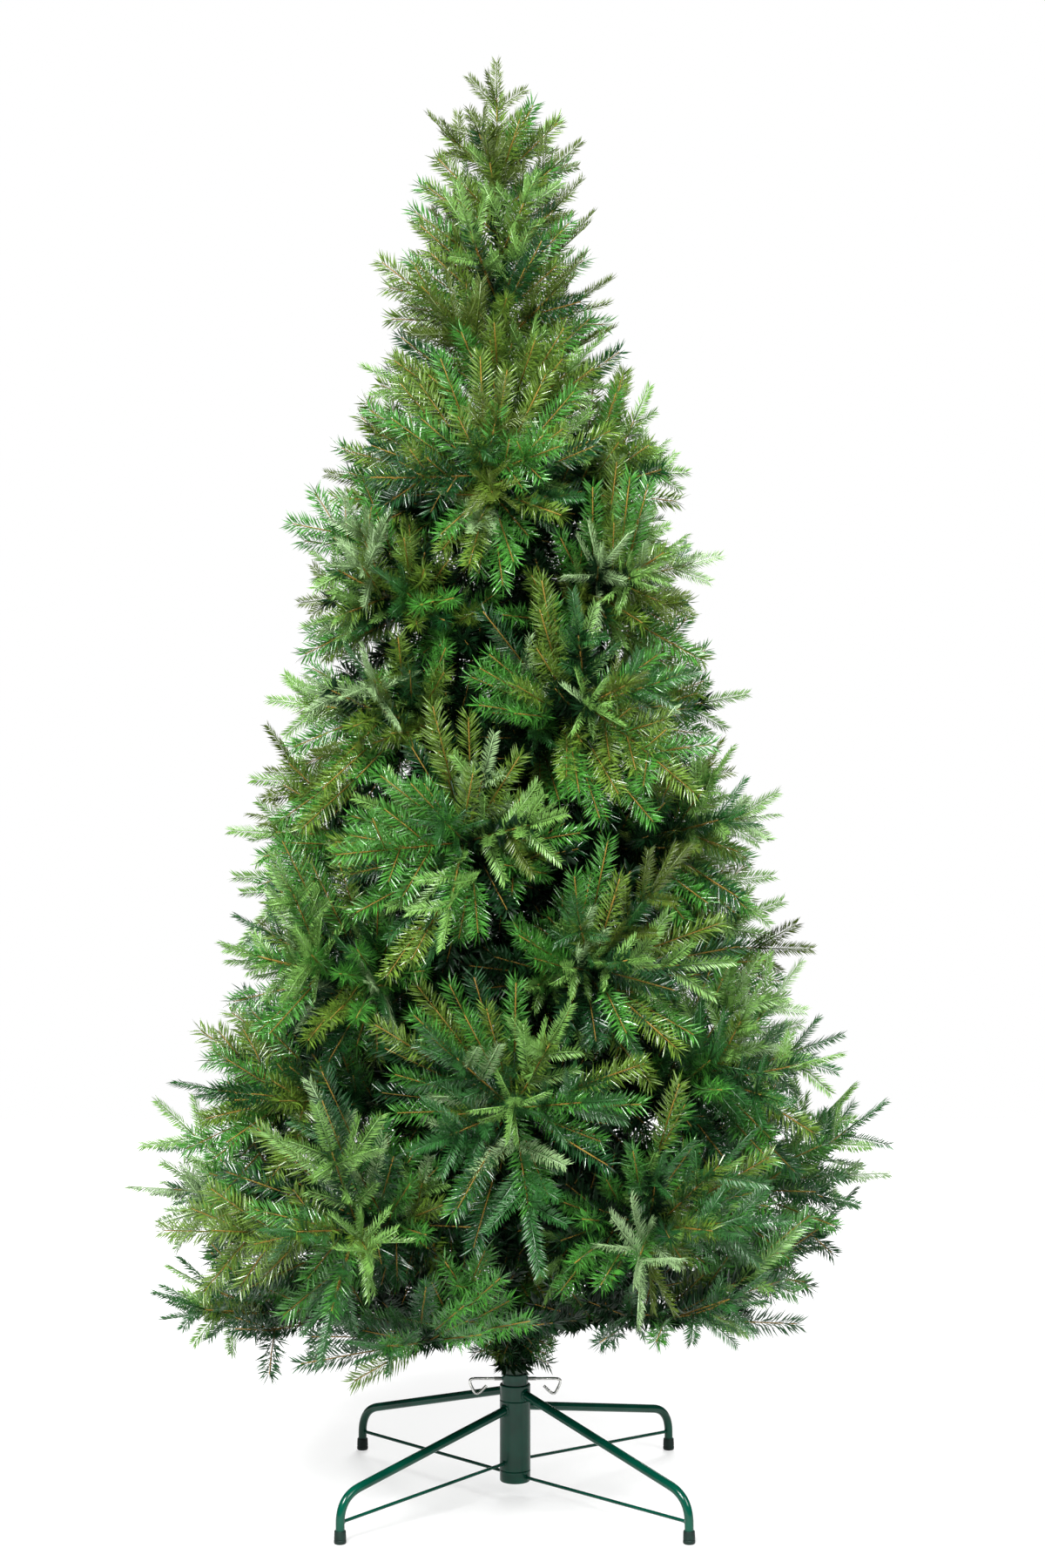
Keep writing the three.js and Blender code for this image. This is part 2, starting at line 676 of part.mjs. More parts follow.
// Pole with its brackets
const poleProfile = [[0, TUBE_BOTTOM + TUBE_FLOOR + POLE_SEAT_GAP]];
poleProfile.push([POLE_RADII[0], TUBE_BOTTOM + TUBE_FLOOR + POLE_SEAT_GAP]);
const poleFeatures = [
  ...TIERS.map((tier) => ({ height: tier.height, bracket: true })),
  ...POLE_JOINTS.map((height, index) => ({ height, index, bracket: false })),
].sort((a, b) => a.height - b.height);
for (const feature of poleFeatures) {
  const radius = poleRadius(feature.height);
  if (feature.bracket) {
    poleProfile.push([radius, feature.height - BRACKET_HALF_HEIGHT]);
    poleProfile.push([radius + BRACKET_RIM, feature.height - BRACKET_HALF_HEIGHT]);
    poleProfile.push([radius + BRACKET_RIM, feature.height + BRACKET_HALF_HEIGHT]);
    poleProfile.push([radius, feature.height + BRACKET_HALF_HEIGHT]);
  } else {
    poleProfile.push([POLE_RADII[feature.index], feature.height]);
    poleProfile.push([POLE_RADII[feature.index + 1], feature.height]);
  }
}
poleProfile.push([POLE_RADII[2], POLE_TOP]);
poleProfile.push([0, POLE_TOP]);
addToTree("trunk_pole", turned(poleProfile, POLE_SIDES), material(...POLE_PAINT));

// Branches and their foliage
const stems = TIERS.flatMap((tier, tierIndex) =>
  Array.from({ length: tier.count }, (_, index) => branch(tierIndex, index)),
);
const leader = { ...leaderStem(), baseRadius: LEADER_STEM_RADIUS };
stems.push(leader);
for (const stem of stems) {
  if (stem.bough) {
    const radii = [BOUGH_BASE_RADIUS, STEM_BASE_RADIUS];
    const shape = limb(stem.bough, radii, BOUGH_SIDES, stem.side);
    addToTree(stem.name.replace("foliage_1", "bough"), shape, material(...BOUGH_WRAP));
  }
  const sprigs = stem === leader ? leaderSprigs(stem, stems) : sprigsOf(stem, stems);
  addToTree(stem.name, mass(stem, sprigs), material(...NEEDLES));
}

export default part;
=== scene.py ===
# An artificial fir on a folding steel stand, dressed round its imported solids, in metres.
from math import atan, atan2, copysign, cos, hypot, pi, radians, sin, sqrt, tan

import bpy
import numpy as np
from numpy.linalg import norm
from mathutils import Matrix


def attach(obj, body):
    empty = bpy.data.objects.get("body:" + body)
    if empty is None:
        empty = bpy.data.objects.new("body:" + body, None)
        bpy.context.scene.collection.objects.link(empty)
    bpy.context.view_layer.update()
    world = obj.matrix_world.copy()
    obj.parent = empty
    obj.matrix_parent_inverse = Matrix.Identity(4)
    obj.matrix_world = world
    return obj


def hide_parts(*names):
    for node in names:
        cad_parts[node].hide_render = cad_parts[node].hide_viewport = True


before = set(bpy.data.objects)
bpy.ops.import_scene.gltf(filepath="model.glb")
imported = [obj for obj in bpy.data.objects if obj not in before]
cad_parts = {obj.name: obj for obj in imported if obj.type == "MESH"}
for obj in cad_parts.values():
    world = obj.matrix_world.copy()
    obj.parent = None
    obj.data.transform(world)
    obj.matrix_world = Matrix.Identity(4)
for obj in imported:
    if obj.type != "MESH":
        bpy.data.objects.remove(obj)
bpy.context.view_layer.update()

MILLIMETRE = 0.001

# Sizes shared with the solids, in millimetres
GAP = 0.3
TREE_HEIGHT = 2100
LEAN_DEGREES = 0.8
LEAN_PIVOT_HEIGHT = 98
TUBE_RADIUS = 19.2
TUBE_BORE_RADIUS = 17.4
RING_RADIUS = 22.5
TUBE_BOTTOM = 19
TUBE_TOP = 176
TUBE_FLOOR = 3
LOWER_RING_TOP = 36
UPPER_RING_BOTTOM = 138
UPPER_RING_TOP = 160.5
FOOT_DISTANCE = 337
LEG_RADIUS = 6.3
LEG_CORNER_HEIGHT = 63
LEG_BEND_LENGTH = 36
FIXED_LEG_HEIGHT = 148
TURNING_LEG_HEIGHT = 125
BRACE_RADIUS = 2.4
BRACE_FOOT_HEIGHT = 29
FIXED_BRACE_HEIGHT = 28
TURNING_BRACE_HEIGHT = 48
CAP_RADIUS = 8.6
CAP_TOP_RADIUS = 7.9
CAP_HEIGHT = 18
CAP_FLOOR = 4
SCREW_HEIGHT = 168
SCREW_RADIUS = 2.9
SCREW_SHANK_END = 31
SCREW_WIRE_RADIUS = 2.1
SCREW_REACH = 66
SCREW_DROP = 21
POLE_RADII = (15.5, 13.5, 10.5)
POLE_JOINTS = (760, 1320)
POLE_TOP = 1540
BRACKET_RIM = 4.5
BRACKET_HALF_HEIGHT = 10

# Tiers of branches: height on the pole, count, first heading, rise, reach and tilt, a rise towards +X
TIERS = (
    (255, 6, 8, 8, 535, 3),
    (388, 6, 0, 9, 562, 0),
    (540, 5, 54, 12, 512, 2),
    (712, 4, 30, 15, 462, 2),
    (890, 4, 75, 18, 408, 0),
    (1068, 4, 30, 21, 356, 0),
    (1236, 3, 85, 25, 312, 2),
    (1400, 3, 20, 28, 272, 2),
)
HEADING_JITTER = 5
REACH_JITTER = 0.05
STEM_SEGMENTS = 3
STEM_BOW_SHARE = 0.025
STEM_BASE_RADIUS = 5
BOUGH_TIER = 0
BOUGH_LENGTH = 150
BOUGH_BASE_RADIUS = 6.2

# Sprigs: their places on a stem as share, opening, headings round the stem and roll
SPRIG_REACH_SHARE = 0.7
SPRIG_SHORTEST = 200
SPRIG_LONGEST = 330
END_SIZE = 0.56
END_SINK = 10
UPRIGHT_SIZE = 0.8
WHORLS = (
    (0.92, 52, (0, 65, 130, 195, 280), 20),
    (0.55, 62, (-15, 35, 90, 145, 195, 270), 20),
    (0.75, 56, (10, 100, 170, 250), 20),
    (0.22, 66, (40, 140), 20),
)
BOUGH_WHORLS = (
    (0.9, 46, (0, 60, 120, 180), 35),
    (0.5, 60, (0, 50, 130, 180, 90), 35),
    (0.12, 76, (10, 60, 120, 170), 35),
)
FIRST_FINGER = (0.3, 44, 0.44)
SECOND_FINGER = (0.54, 38, 0.35)
CELL_MARGIN = 2
SPRIG_SPACING = 27
TRUNK_CLEARANCE = 34
CROWN_FLOOR = 280
CROWN_FLOOR_SLOPE = -0.2
CROWN_FLOOR_TILT = 0.1
CROWN_HEIGHTS = (205, 320, 500, 780, 1250, 1500, 1800, 1950, 2030, 2100)
CROWN_RADII = (500, 548, 585, 475, 345, 292, 190, 162, 130, 52)
PLACING_TRIES = 5
SHRINK = 0.88
NARROW = 0.95
SEED = 2101
TIER_SEED_STEP = 101
BRANCH_SEED_STEP = 17
END_ROLL, END_ROLL_JITTER = 90, 25
PLACE_JITTER = 0.04
OPENING_JITTER = 8
ROUND_JITTER = 12
SIZE_JITTER = 0.1
ROLL_JITTER = 30
LAST_PLACE = 0.9999

# The top section: rings of sprigs as height, count, first heading, rise and size, and how far each may stray
LEADER_STEM_TOP = 1950
LEADER_STEM_BEND = 0.4
LEADER_SHARE = 0.9
TOP_ROLL = 12
LEADER_RINGS = (
    (1556, 6, 20, 20, 265),
    (1618, 6, 50, 24, 240),
    (1678, 6, 75, 22, 215),
    (1735, 5, 20, 34, 205),
    (1800, 6, 50, 36, 190),
    (1870, 5, 36, 30, 165),
    (1922, 5, 18, 42, 160),
)
LEADER_HEADING_JITTER = 14
LEADER_RISE_JITTER = 8
LEADER_ROLL_JITTER = 40
LEADER_SIZE_JITTER = 0.08

rng = np.random.default_rng(SEED)
UP = np.array([0.0, 0.0, 1.0])


def mix(a, b, share):
    return a + (b - a) * share


def unit(vectors):
    return vectors / norm(vectors, axis=-1, keepdims=True)


def outward(heading):
    return np.array([cos(heading), sin(heading), 0])


def swung(a, b, angle):
    return a * cos(angle) + b * sin(angle)


def turns(count):
    return [2 * pi * k / count for k in range(count)]


# The seeded draw of the solids' source: numbers from 0 to 1 that come out the same in both
WORD_SIZE = 2 ** 32
WORD_MASK = WORD_SIZE - 1
DRAW_STEP = 0x6D2B79F5
DRAW_SHIFTS = (15, 7, 14)
DRAW_ODD_BITS = 61


def seeded(seed):
    state = seed & WORD_MASK
    first, second, last = DRAW_SHIFTS

    def draw():
        nonlocal state
        state = (state + DRAW_STEP) & WORD_MASK
        mixed = ((state ^ (state >> first)) * (state | 1)) & WORD_MASK
        stirred = ((mixed ^ (mixed >> second)) * (mixed | DRAW_ODD_BITS)) & WORD_MASK
        mixed ^= (mixed + stirred) & WORD_MASK
        return (mixed ^ (mixed >> last)) / WORD_SIZE

    return draw


def spread(random, amount):
    return (2 * random() - 1) * amount


def sway(amount):
    return rng.uniform(-amount, amount)


# Tree points lean with the pole: from tree millimetres to the frame's metres
def leaned(points):
    angle = radians(LEAN_DEGREES)
    x, y, z = np.moveaxis(np.asarray(points, float), -1, 0)
    z = z - LEAN_PIVOT_HEIGHT
    turned_x = x * cos(angle) - z * sin(angle)
    turned_z = x * sin(angle) + z * cos(angle) + LEAN_PIVOT_HEIGHT
    return np.stack([turned_x, y, turned_z], axis=-1) * MILLIMETRE


def pole_radius(height):
    return POLE_RADII[sum(height >= joint for joint in POLE_JOINTS)]


# One branch: its stem, and its bough where the tier has bare boughs
def branch(tier_index, index):
    height, count, turn, rise_degrees, tier_reach, tilt = TIERS[tier_index]
    random = seeded(SEED + TIER_SEED_STEP * tier_index + BRANCH_SEED_STEP * index)
    heading = radians(turn + 360 * index / count + spread(random, HEADING_JITTER))
    reach = tier_reach * (1 + spread(random, REACH_JITTER))
    length = min(max(SPRIG_REACH_SHARE * reach, SPRIG_SHORTEST), SPRIG_LONGEST)
    slope = tan(radians(rise_degrees + tilt * cos(heading)))
    out = outward(heading)
    side = np.array([-sin(heading), cos(heading), 0])
    has_bough = tier_index == BOUGH_TIER
    base_radius = BOUGH_BASE_RADIUS if has_bough else STEM_BASE_RADIUS
    bow_slope = 0 if has_bough else STEM_BOW_SHARE * STEM_SEGMENTS * sin(pi / STEM_SEGMENTS)
    root_slope = atan(slope + bow_slope)
    start = pole_radius(height) + BRACKET_RIM + GAP + base_radius * sin(root_slope)
    end = reach - END_SIZE * length + END_SINK

    def at(share, lift):
        distance = mix(start, end, share)
        return out * distance + UP * (height + slope * (distance - start) + lift)

    name = f"foliage_{tier_index + 1}_{index + 1}"
    stem = {"name": name, "random": random, "length": length, "side": side, "bough": None}
    if has_bough:
        stem["bough"] = np.array([at(0, 0), at(BOUGH_LENGTH / (end - start), 0)])
        first = stem["bough"][1] + unit(stem["bough"][1] - stem["bough"][0]) * GAP
        stem["points"] = np.array([first, mix(first, at(1, 0), 0.5), at(1, 0)])
    else:
        shares = [step / STEM_SEGMENTS for step in range(STEM_SEGMENTS + 1)]
        bow = STEM_BOW_SHARE * (end - start)
        stem["points"] = np.array([at(share, bow * sin(pi * share)) for share in shares])
    return stem


def leader_stem():
    bottom = UP * (POLE_TOP + GAP)
    top = UP * LEADER_STEM_TOP
    points = np.array([bottom, mix(bottom, top, LEADER_STEM_BEND), top])
    side = np.array([1.0, 0.0, 0.0])
    return {"name": "foliage_top", "points": points, "side": side, "random": seeded(SEED), "bough": None}


def along(stem, share):
    points = stem["points"]
    place = min(share, LAST_PLACE) * (len(points) - 1)
    index = int(place)
    step = points[index + 1] - points[index]
    return points[index] + step * (place - index), unit(step)


# The sprigs a branch would like to carry: one at its end, and whorls that open forwards round it
def wishes(stem):
    random = stem["random"]
    wanted = [(1, 0, 0, END_SIZE, END_ROLL + spread(random, END_ROLL_JITTER), END_SINK)]
    for share, opening, rounds, roll in BOUGH_WHORLS if stem["bough"] is not None else WHORLS:
        for heading in rounds:
            upright = abs(sin(radians(heading)))
            sense = -copysign(1, cos(radians(heading)))
            wanted.append((
                share + spread(random, PLACE_JITTER),
                opening + spread(random, OPENING_JITTER),
                heading + spread(random, ROUND_JITTER),
                mix(1, UPRIGHT_SIZE, upright) + spread(random, SIZE_JITTER),
                roll * sense + spread(random, ROLL_JITTER),
                0,
            ))
    return wanted


def rolled(root, axis, facing, roll, length):
    level = unit(facing - axis * (facing @ axis))
    sideways = np.cross(level, axis)
    normal = swung(level, sideways, roll)
    return {"root": root, "axis": axis, "normal": normal, "across": np.cross(normal, axis), "length": length}


def sprig_at(stem, wish, narrow, length):
    share, opening, heading, _, roll, sink = wish
    point, forward = along(stem, share)
    lift = unit(np.cross(forward, stem["side"]))
    angle, turn = radians(opening * narrow), radians(heading)
    axis = swung(forward, swung(stem["side"], lift, turn), angle)
    facing = forward if opening else stem["side"]
    return rolled(point - axis * sink, axis, facing, radians(roll), length)


def finger_tip(finger):
    start, angle, length = finger
    return start + length * cos(radians(angle)), length * sin(radians(angle))


# Points of a sprig that have to fit: three along its rib, and the tips of its fingers
FIRST_TIP = finger_tip(FIRST_FINGER)
SECOND_TIP = finger_tip(SECOND_FINGER)
TEST_ALONG = np.array([0.4, 0.7, 1, FIRST_TIP[0], FIRST_TIP[0], SECOND_TIP[0], SECOND_TIP[0]])
TEST_ACROSS = np.array([0, 0, 0, FIRST_TIP[1], -FIRST_TIP[1], SECOND_TIP[1], -SECOND_TIP[1]])


def test_points(sprig):
    reach = TEST_ALONG[:, None] * sprig["axis"] + TEST_ACROSS[:, None] * sprig["across"]
    return sprig["root"] + sprig["length"] * reach


stems = [branch(tier, index) for tier, row in enumerate(TIERS) for index in range(row[1])]
stems.append(leader_stem())
leader = stems[-1]
SEGMENT_START = np.concatenate([stem["points"][:-1] for stem in stems])
SEGMENT_STEP = np.concatenate([np.diff(stem["points"], axis=0) for stem in stems])
SEGMENT_OWNER = np.concatenate([np.full(len(stem["points"]) - 1, k) for k, stem in enumerate(stems)])


def segment_distances(points):
    offset = points[:, None, :] - SEGMENT_START
    share = (offset * SEGMENT_STEP).sum(-1) / (SEGMENT_STEP ** 2).sum(-1)
    nearest = offset - np.clip(share, 0, 1)[..., None] * SEGMENT_STEP
    return norm(nearest, axis=-1)


def in_crown(points):
    from_axis = np.hypot(points[:, 0], points[:, 1])
    heights = points[:, 2]
    floors = CROWN_FLOOR + CROWN_FLOOR_SLOPE * np.abs(points[:, 0]) + CROWN_FLOOR_TILT * points[:, 0]
    above = heights >= floors
    inside = from_axis <= np.interp(heights, CROWN_HEIGHTS, CROWN_RADII, left=0, right=0)
    off_pole = (heights >= POLE_TOP) | (from_axis >= TRUNK_CLEARANCE)
    return bool(np.all(above & inside & off_pole))


def keeps_to_its_space(points, stem_index):
    if not in_crown(points):
        return False
    distances = segment_distances(points)
    own = SEGMENT_OWNER == stem_index
    return bool(np.all(distances[:, own].min(1) + CELL_MARGIN < distances[:, ~own].min(1)))


# A sprig is drawn in and shortened until it fits its space, or skipped
def place_sprig(make, size, stem_index, placed, share):
    for tries in range(PLACING_TRIES):
        sprig = make(size * SHRINK ** tries, NARROW ** tries)
        points = test_points(sprig)
        clear = all(
            norm(points[:, None] - other["tests"], axis=-1).min() > SPRIG_SPACING for other in placed
        )
        if clear and keeps_to_its_space(points, stem_index):
            placed.append({**sprig, "tests": points, "share": share})
            return


def sprigs_of(stem_index):
    stem = stems[stem_index]
    placed = []
    for wish in wishes(stem):
        def make(length, narrow):
            return sprig_at(stem, wish, narrow, length)

        place_sprig(make, wish[3] * stem["length"], stem_index, placed, wish[0])
    return placed


def leader_sprigs(stem_index):
    random = leader["random"]
    crown = leader["points"][2] - UP * END_SINK
    to_front = np.array([0.0, -1.0, 0.0])
    top = rolled(crown, UP, to_front, radians(TOP_ROLL), TREE_HEIGHT - LEADER_STEM_TOP + END_SINK)
    placed = [{**top, "tests": test_points(top), "share": 1}]
    for height, count, turn, rise_degrees, ring_size in LEADER_RINGS:
        for index in range(count):
            heading = radians(turn + 360 * index / count + spread(random, LEADER_HEADING_JITTER))
            rise = radians(rise_degrees + spread(random, LEADER_RISE_JITTER))
            roll = radians(spread(random, LEADER_ROLL_JITTER))
            axis = swung(outward(heading), UP, rise)
            size = ring_size * (1 + spread(random, LEADER_SIZE_JITTER))

            def make(length, narrow):
                return rolled(UP * height, axis, UP, roll, length)

            place_sprig(make, size, stem_index, placed, LEADER_SHARE)
    return placed


# Fingers: needle-clad twigs, each a start, a direction, a normal, a bend, a length and a colour
MOULDED, FILM, INNER_SHADE = "moulded", "film", "inner"
fingers = {MOULDED: [], FILM: [], INNER_SHADE: []}
ribs = []
links = []


def add_finger(kind, tint, start, direction, normal, length, bend):
    fingers[kind].append((start, direction, normal, bend, length, tint))


def add_span(kind, tint, a, b, normal):
    reach = norm(b - a)
    add_finger(kind, tint, a, (b - a) / reach, normal, reach, UP * 0)


def columns(rows):
    start, direction, normal, bend = (np.array([row[k] for row in rows], float) for k in range(4))
    return start, direction, normal, bend, np.array([row[4] for row in rows], float)


# Fingers on a sprig: side ones come in pairs, as where on the rib, opening, and length as a share of the sprig's
FINGER_LONGEST = 128
FINGER_SHORTEST = 45
FINGER_LENGTH_SWAY = 0.25
TIP_MARGIN = 8
SIDE_FINGERS = ((0.2, 47, 0.36), (0.37, 44, 0.4), (0.54, 39, 0.37))
SHORT_SIDE_FINGERS = ((0.28, 45, 0.4), (0.5, 40, 0.36))
SHORT_SPRIG = 215
SIDE_OPENING_SWAY = 13
SIDE_PLACE_SWAY = 0.05
SIDE_TILT = 0.42
SIDE_SAG, SIDE_LIFT = 0.12, 0.08
STANDING_FINGERS = ((0.28, 1), (0.42, -1), (0.56, 1))
STANDING_OPENING = 52
STANDING_OPENING_SWAY = 10
STANDING_PLACE_SWAY = 0.06
STANDING_LEAN = 0.7
STANDING_SAG = 0.08
STANDING_LENGTH = 0.33
STANDING_CHANCE = 0.75
RIB_FILM_FROM, RIB_FILM_TINT_AT = 0.04, 0.3
END_FINGER_FROM = 0.62
SAME_TINT_CHANCE = 0.75
SPRIG_SAG, SPRIG_LIFT = 0.14, 0.05
LOW_SPRIGS = 400
LOW_LIFT, RIGHT_LIFT = 0.17, 0.28
RIGHT_REACH = 250
LOW_STEADY = 0.5
TIP_SPRIG = 1935
TIP_STEADY = 0.2
NEEDLE_ROOM = 35


# Needles hang below a tip, so it needs that much room above the crown's floor
def has_room(tip):
    return in_crown((tip - UP * NEEDLE_ROOM)[None])


# A sprig's fan of fingers in its blade, and some that stand off it, on a rib clad with film
def dress(sprig, kind, tint):
    length = sprig["length"]
    axis, across, normal = sprig["axis"], sprig["across"], sprig["normal"]
    lift, steady = sway(SPRIG_LIFT), 1
    if sprig["root"][2] > TIP_SPRIG:
        lift, steady = 0, TIP_STEADY
    if sprig["root"][2] < LOW_SPRIGS:
        lift += LOW_LIFT + RIGHT_LIFT * np.clip(sprig["root"][0] / RIGHT_REACH, 0, 1)
        steady = LOW_STEADY
    sag = (normal * sway(SPRIG_SAG) * steady + UP * lift) * length

    def rib(share):
        return sprig["root"] + axis * length * share + sag * share * share

    def grow(shade, place, direction, facing, reach, bend):
        if has_room(place + direction * reach + bend):
            add_finger(kind, shade, place, direction, facing, reach, bend)

    def size(share):
        wanted = share * length * (1 + sway(FINGER_LENGTH_SWAY)) - TIP_MARGIN
        return min(max(wanted, FINGER_SHORTEST), FINGER_LONGEST)

    other = moulded_tint(rib(1)) if kind == MOULDED else film_tint(rib(1))
    ribs.append((sprig["root"], axis, normal, sag * END_FINGER_FROM ** 2, length * END_FINGER_FROM, 0))
    add_span(*film_kind(rib(RIB_FILM_TINT_AT)), rib(RIB_FILM_FROM), rib(END_FINGER_FROM), normal)
    add_span(kind, tint, rib(END_FINGER_FROM), rib(1 - TIP_MARGIN / length), normal)
    for place, opening, share in SHORT_SIDE_FINGERS if length < SHORT_SPRIG else SIDE_FINGERS:
        for hand in (1, -1):
            angle = radians(opening + sway(SIDE_OPENING_SWAY))
            grown = size(share)
            direction = swung(axis, across * hand, angle) + normal * sway(SIDE_TILT)
            bend = (normal * sway(SIDE_SAG) + UP * sway(SIDE_LIFT)) * grown
            shade = tint if rng.random() < SAME_TINT_CHANCE else other
            grow(shade, rib(place + sway(SIDE_PLACE_SWAY)), unit(direction), normal, grown, bend)
    for place, hand in STANDING_FINGERS:
        if rng.random() > STANDING_CHANCE:
            continue
        angle = radians(STANDING_OPENING + sway(STANDING_OPENING_SWAY))
        lean = unit(normal * hand + across * sway(STANDING_LEAN))
        direction = swung(axis, lean, angle)
        grown = size(STANDING_LENGTH)
        root = rib(place + sway(STANDING_PLACE_SWAY))
        grow(tint, root, direction, across, grown, lean * sway(STANDING_SAG) * grown)


# Chances of each tint, by height as a share of the tree's, and of the inner film, by depth in the crown; the dark
# tints and the inner film are painted shade
OLIVE_LEAST, OLIVE_GAIN = 0.03, 0.95
SAGE_LEAST, SAGE_GAIN = 0.45, -0.35
DARK_AT_FLOOR = 1.0
DARK_FILM_AT_FLOOR, DARK_FILM_AT_TOP = 0.9, 0.4
INNER_REACH = 0.75
INNER_GAIN = 2.0
INNER_MOST = 0.95
INNER_BOTTOM = 300
BRIGHT_LEAST, BRIGHT_GAIN = 0.05, 0.8


def deal(chances):
    return int(rng.choice(len(chances), p=chances))


# Dark and sage sprigs are commonest low down, olive ones at the top; the dark tint is painted shade on the lower
# sprigs
def moulded_tint(point):
    height = point[2] / TREE_HEIGHT
    olive = OLIVE_LEAST + OLIVE_GAIN * height ** 3
    dark = DARK_AT_FLOOR * (1 - height) ** 2
    sage = SAGE_LEAST + SAGE_GAIN * height
    rest = (1 - olive) * (1 - dark)
    return deal((rest * sage, rest * (1 - sage), olive, (1 - olive) * dark))


# Dark film, a painted shade, is commonest low down, bright film towards the top
def film_tint(point):
    height = point[2] / TREE_HEIGHT
    bright = BRIGHT_LEAST + BRIGHT_GAIN * height
    dark = DARK_FILM_AT_FLOOR * (1 - height) ** 3 + DARK_FILM_AT_TOP * height ** 6
    return deal(((1 - dark) * (1 - bright), (1 - dark) * bright, dark))


# Film towards the pole is deep green painted shade, of wide needles that close the view through the crown
def film_kind(point):
    limit = np.interp(point[2], CROWN_HEIGHTS, CROWN_RADII)
    depth = 1 if point[2] > POLE_TOP else hypot(point[0], point[1]) / limit
    if point[2] > INNER_BOTTOM and rng.random() < min(INNER_GAIN * (INNER_REACH - depth), INNER_MOST):
        return INNER_SHADE, 0
    return FILM, film_tint(point)


# Moulded sprigs are commonest at the branch ends and film ones towards the pole
MOULDED_LEAST, MOULDED_GAIN = 0.25, 0.7


def dress_stem(stem_index):
    stem = stems[stem_index]
    sprigs = leader_sprigs(stem_index) if stem is leader else sprigs_of(stem_index)
    for number, sprig in enumerate(sprigs):
        chance = 1 if number == 0 else MOULDED_LEAST + MOULDED_GAIN * sprig["share"]
        kind = MOULDED if rng.random() < chance else FILM
        tip = sprig["root"] + sprig["axis"] * sprig["length"]
        dress(sprig, kind, moulded_tint(tip) if kind == MOULDED else film_tint(tip))


# Film fingers between the sprigs, and film needles of painted shade wound along the stems
GOLDEN_ANGLE = 137.5
WRAP_FINGERS = 10
WRAP_FROM, WRAP_TO = 0.06, 0.86
WRAP_OPENING, WRAP_OPENING_SWAY = 58, 12
WRAP_TURN_SWAY = 25
WRAP_LENGTHS = (75, 120)
WRAP_TILT = 0.3
WRAP_SAG, WRAP_BOW = 0.1, 0.05


def wrap_stem(stem):
    points = stem["points"] if stem["bough"] is None else np.concatenate([stem["bough"][:1], stem["points"]])
    for a, b in zip(points[:-1], points[1:]):
        add_span(INNER_SHADE, 0, a, b, UP + stem["side"] * WRAP_TILT)
    for number in range(WRAP_FINGERS):
        share = mix(WRAP_FROM, WRAP_TO, (number + rng.random()) / WRAP_FINGERS)
        point, forward = along(stem, share)
        lift = unit(np.cross(forward, stem["side"]))
        turn = radians(number * GOLDEN_ANGLE + sway(WRAP_TURN_SWAY))
        opening = radians(WRAP_OPENING + sway(WRAP_OPENING_SWAY))
        direction = swung(forward, swung(stem["side"], lift, turn), opening)
        length = rng.uniform(*WRAP_LENGTHS)
        if has_room(point + direction * length):
            bend = (lift * sway(WRAP_SAG) + forward * WRAP_BOW) * length
            add_finger(*film_kind(point + direction * length / 2), point, direction, forward, length, bend)


# A garland of painted shade wound round the pole from the stand to the top, close at the bottom and wider above:
# bottom, top, pitch
GARLANDS = ((186, 300, 7), (300, POLE_TOP, 24))
GARLAND_STEPS = 9
GARLAND_STANDOFF = 2


def wrap_pole(bottom, top, pitch):
    for step in range(int((top - bottom) / pitch * GARLAND_STEPS)):
        low, high = (bottom + pitch * (step + k) / GARLAND_STEPS for k in (0, 1))
        angles = [2 * pi * (step + k) / GARLAND_STEPS for k in (0, 1)]
        radius = pole_radius(low) + GARLAND_STANDOFF
        a, b = (
            np.array([radius * cos(angle), radius * sin(angle), height])
            for angle, height in zip(angles, (low, high))
        )
        add_span(INNER_SHADE, 0, a, b, outward(angles[0]))


# A bristling collar of film fingers on the pole above the stand, short at the bottom
COLLAR_BOTTOM, COLLAR_TOP = 204, 450
COLLAR_FINGERS = 120
COLLAR_LENGTHS = (36, 88)
COLLAR_LENGTH_SWAY = 0.2
COLLAR_TURN_SWAY = 12
COLLAR_TILT = 0.4
COLLAR_DROOP = 0.15


def collar():
    for number in range(COLLAR_FINGERS):
        share = number / COLLAR_FINGERS
        height = mix(COLLAR_BOTTOM, COLLAR_TOP, share)
        turn = radians(number * GOLDEN_ANGLE + sway(COLLAR_TURN_SWAY))
        start = outward(turn) * pole_radius(height) + UP * height
        direction = unit(outward(turn) + UP * sway(COLLAR_TILT))
        length = mix(*COLLAR_LENGTHS, share) * (1 + sway(COLLAR_LENGTH_SWAY))
        add_finger(FILM, film_tint(start), start, direction, UP, length, -UP * COLLAR_DROOP * length)


# Film fingers that grow from the nearest stem into whatever room is left inside the crown; the inner ones and their
# linking wires are painted shade
FILL_TRIES = 18000
FILL_SPACING = 37
FILL_DEPTH, TOP_FILL_DEPTH = 0.84, 0.7
FILL_NARROWS = (1500, 1900)
FILL_BOTTOM = 250
FILL_TOP = 2010
FILL_LENGTH = 110
FILL_SWEEP = 0.7
FILL_ROOTS = (0.02, 0.98)
FINGER_SAMPLES = (0.3, 0.65, 1.0)


def finger_samples():
    rows = fingers[MOULDED] + fingers[FILM] + fingers[INNER_SHADE]
    start, direction, _, bend, length = columns(rows)
    return np.concatenate([
        start + direction * (length * share)[:, None] + bend * share ** 2 for share in FINGER_SAMPLES
    ])


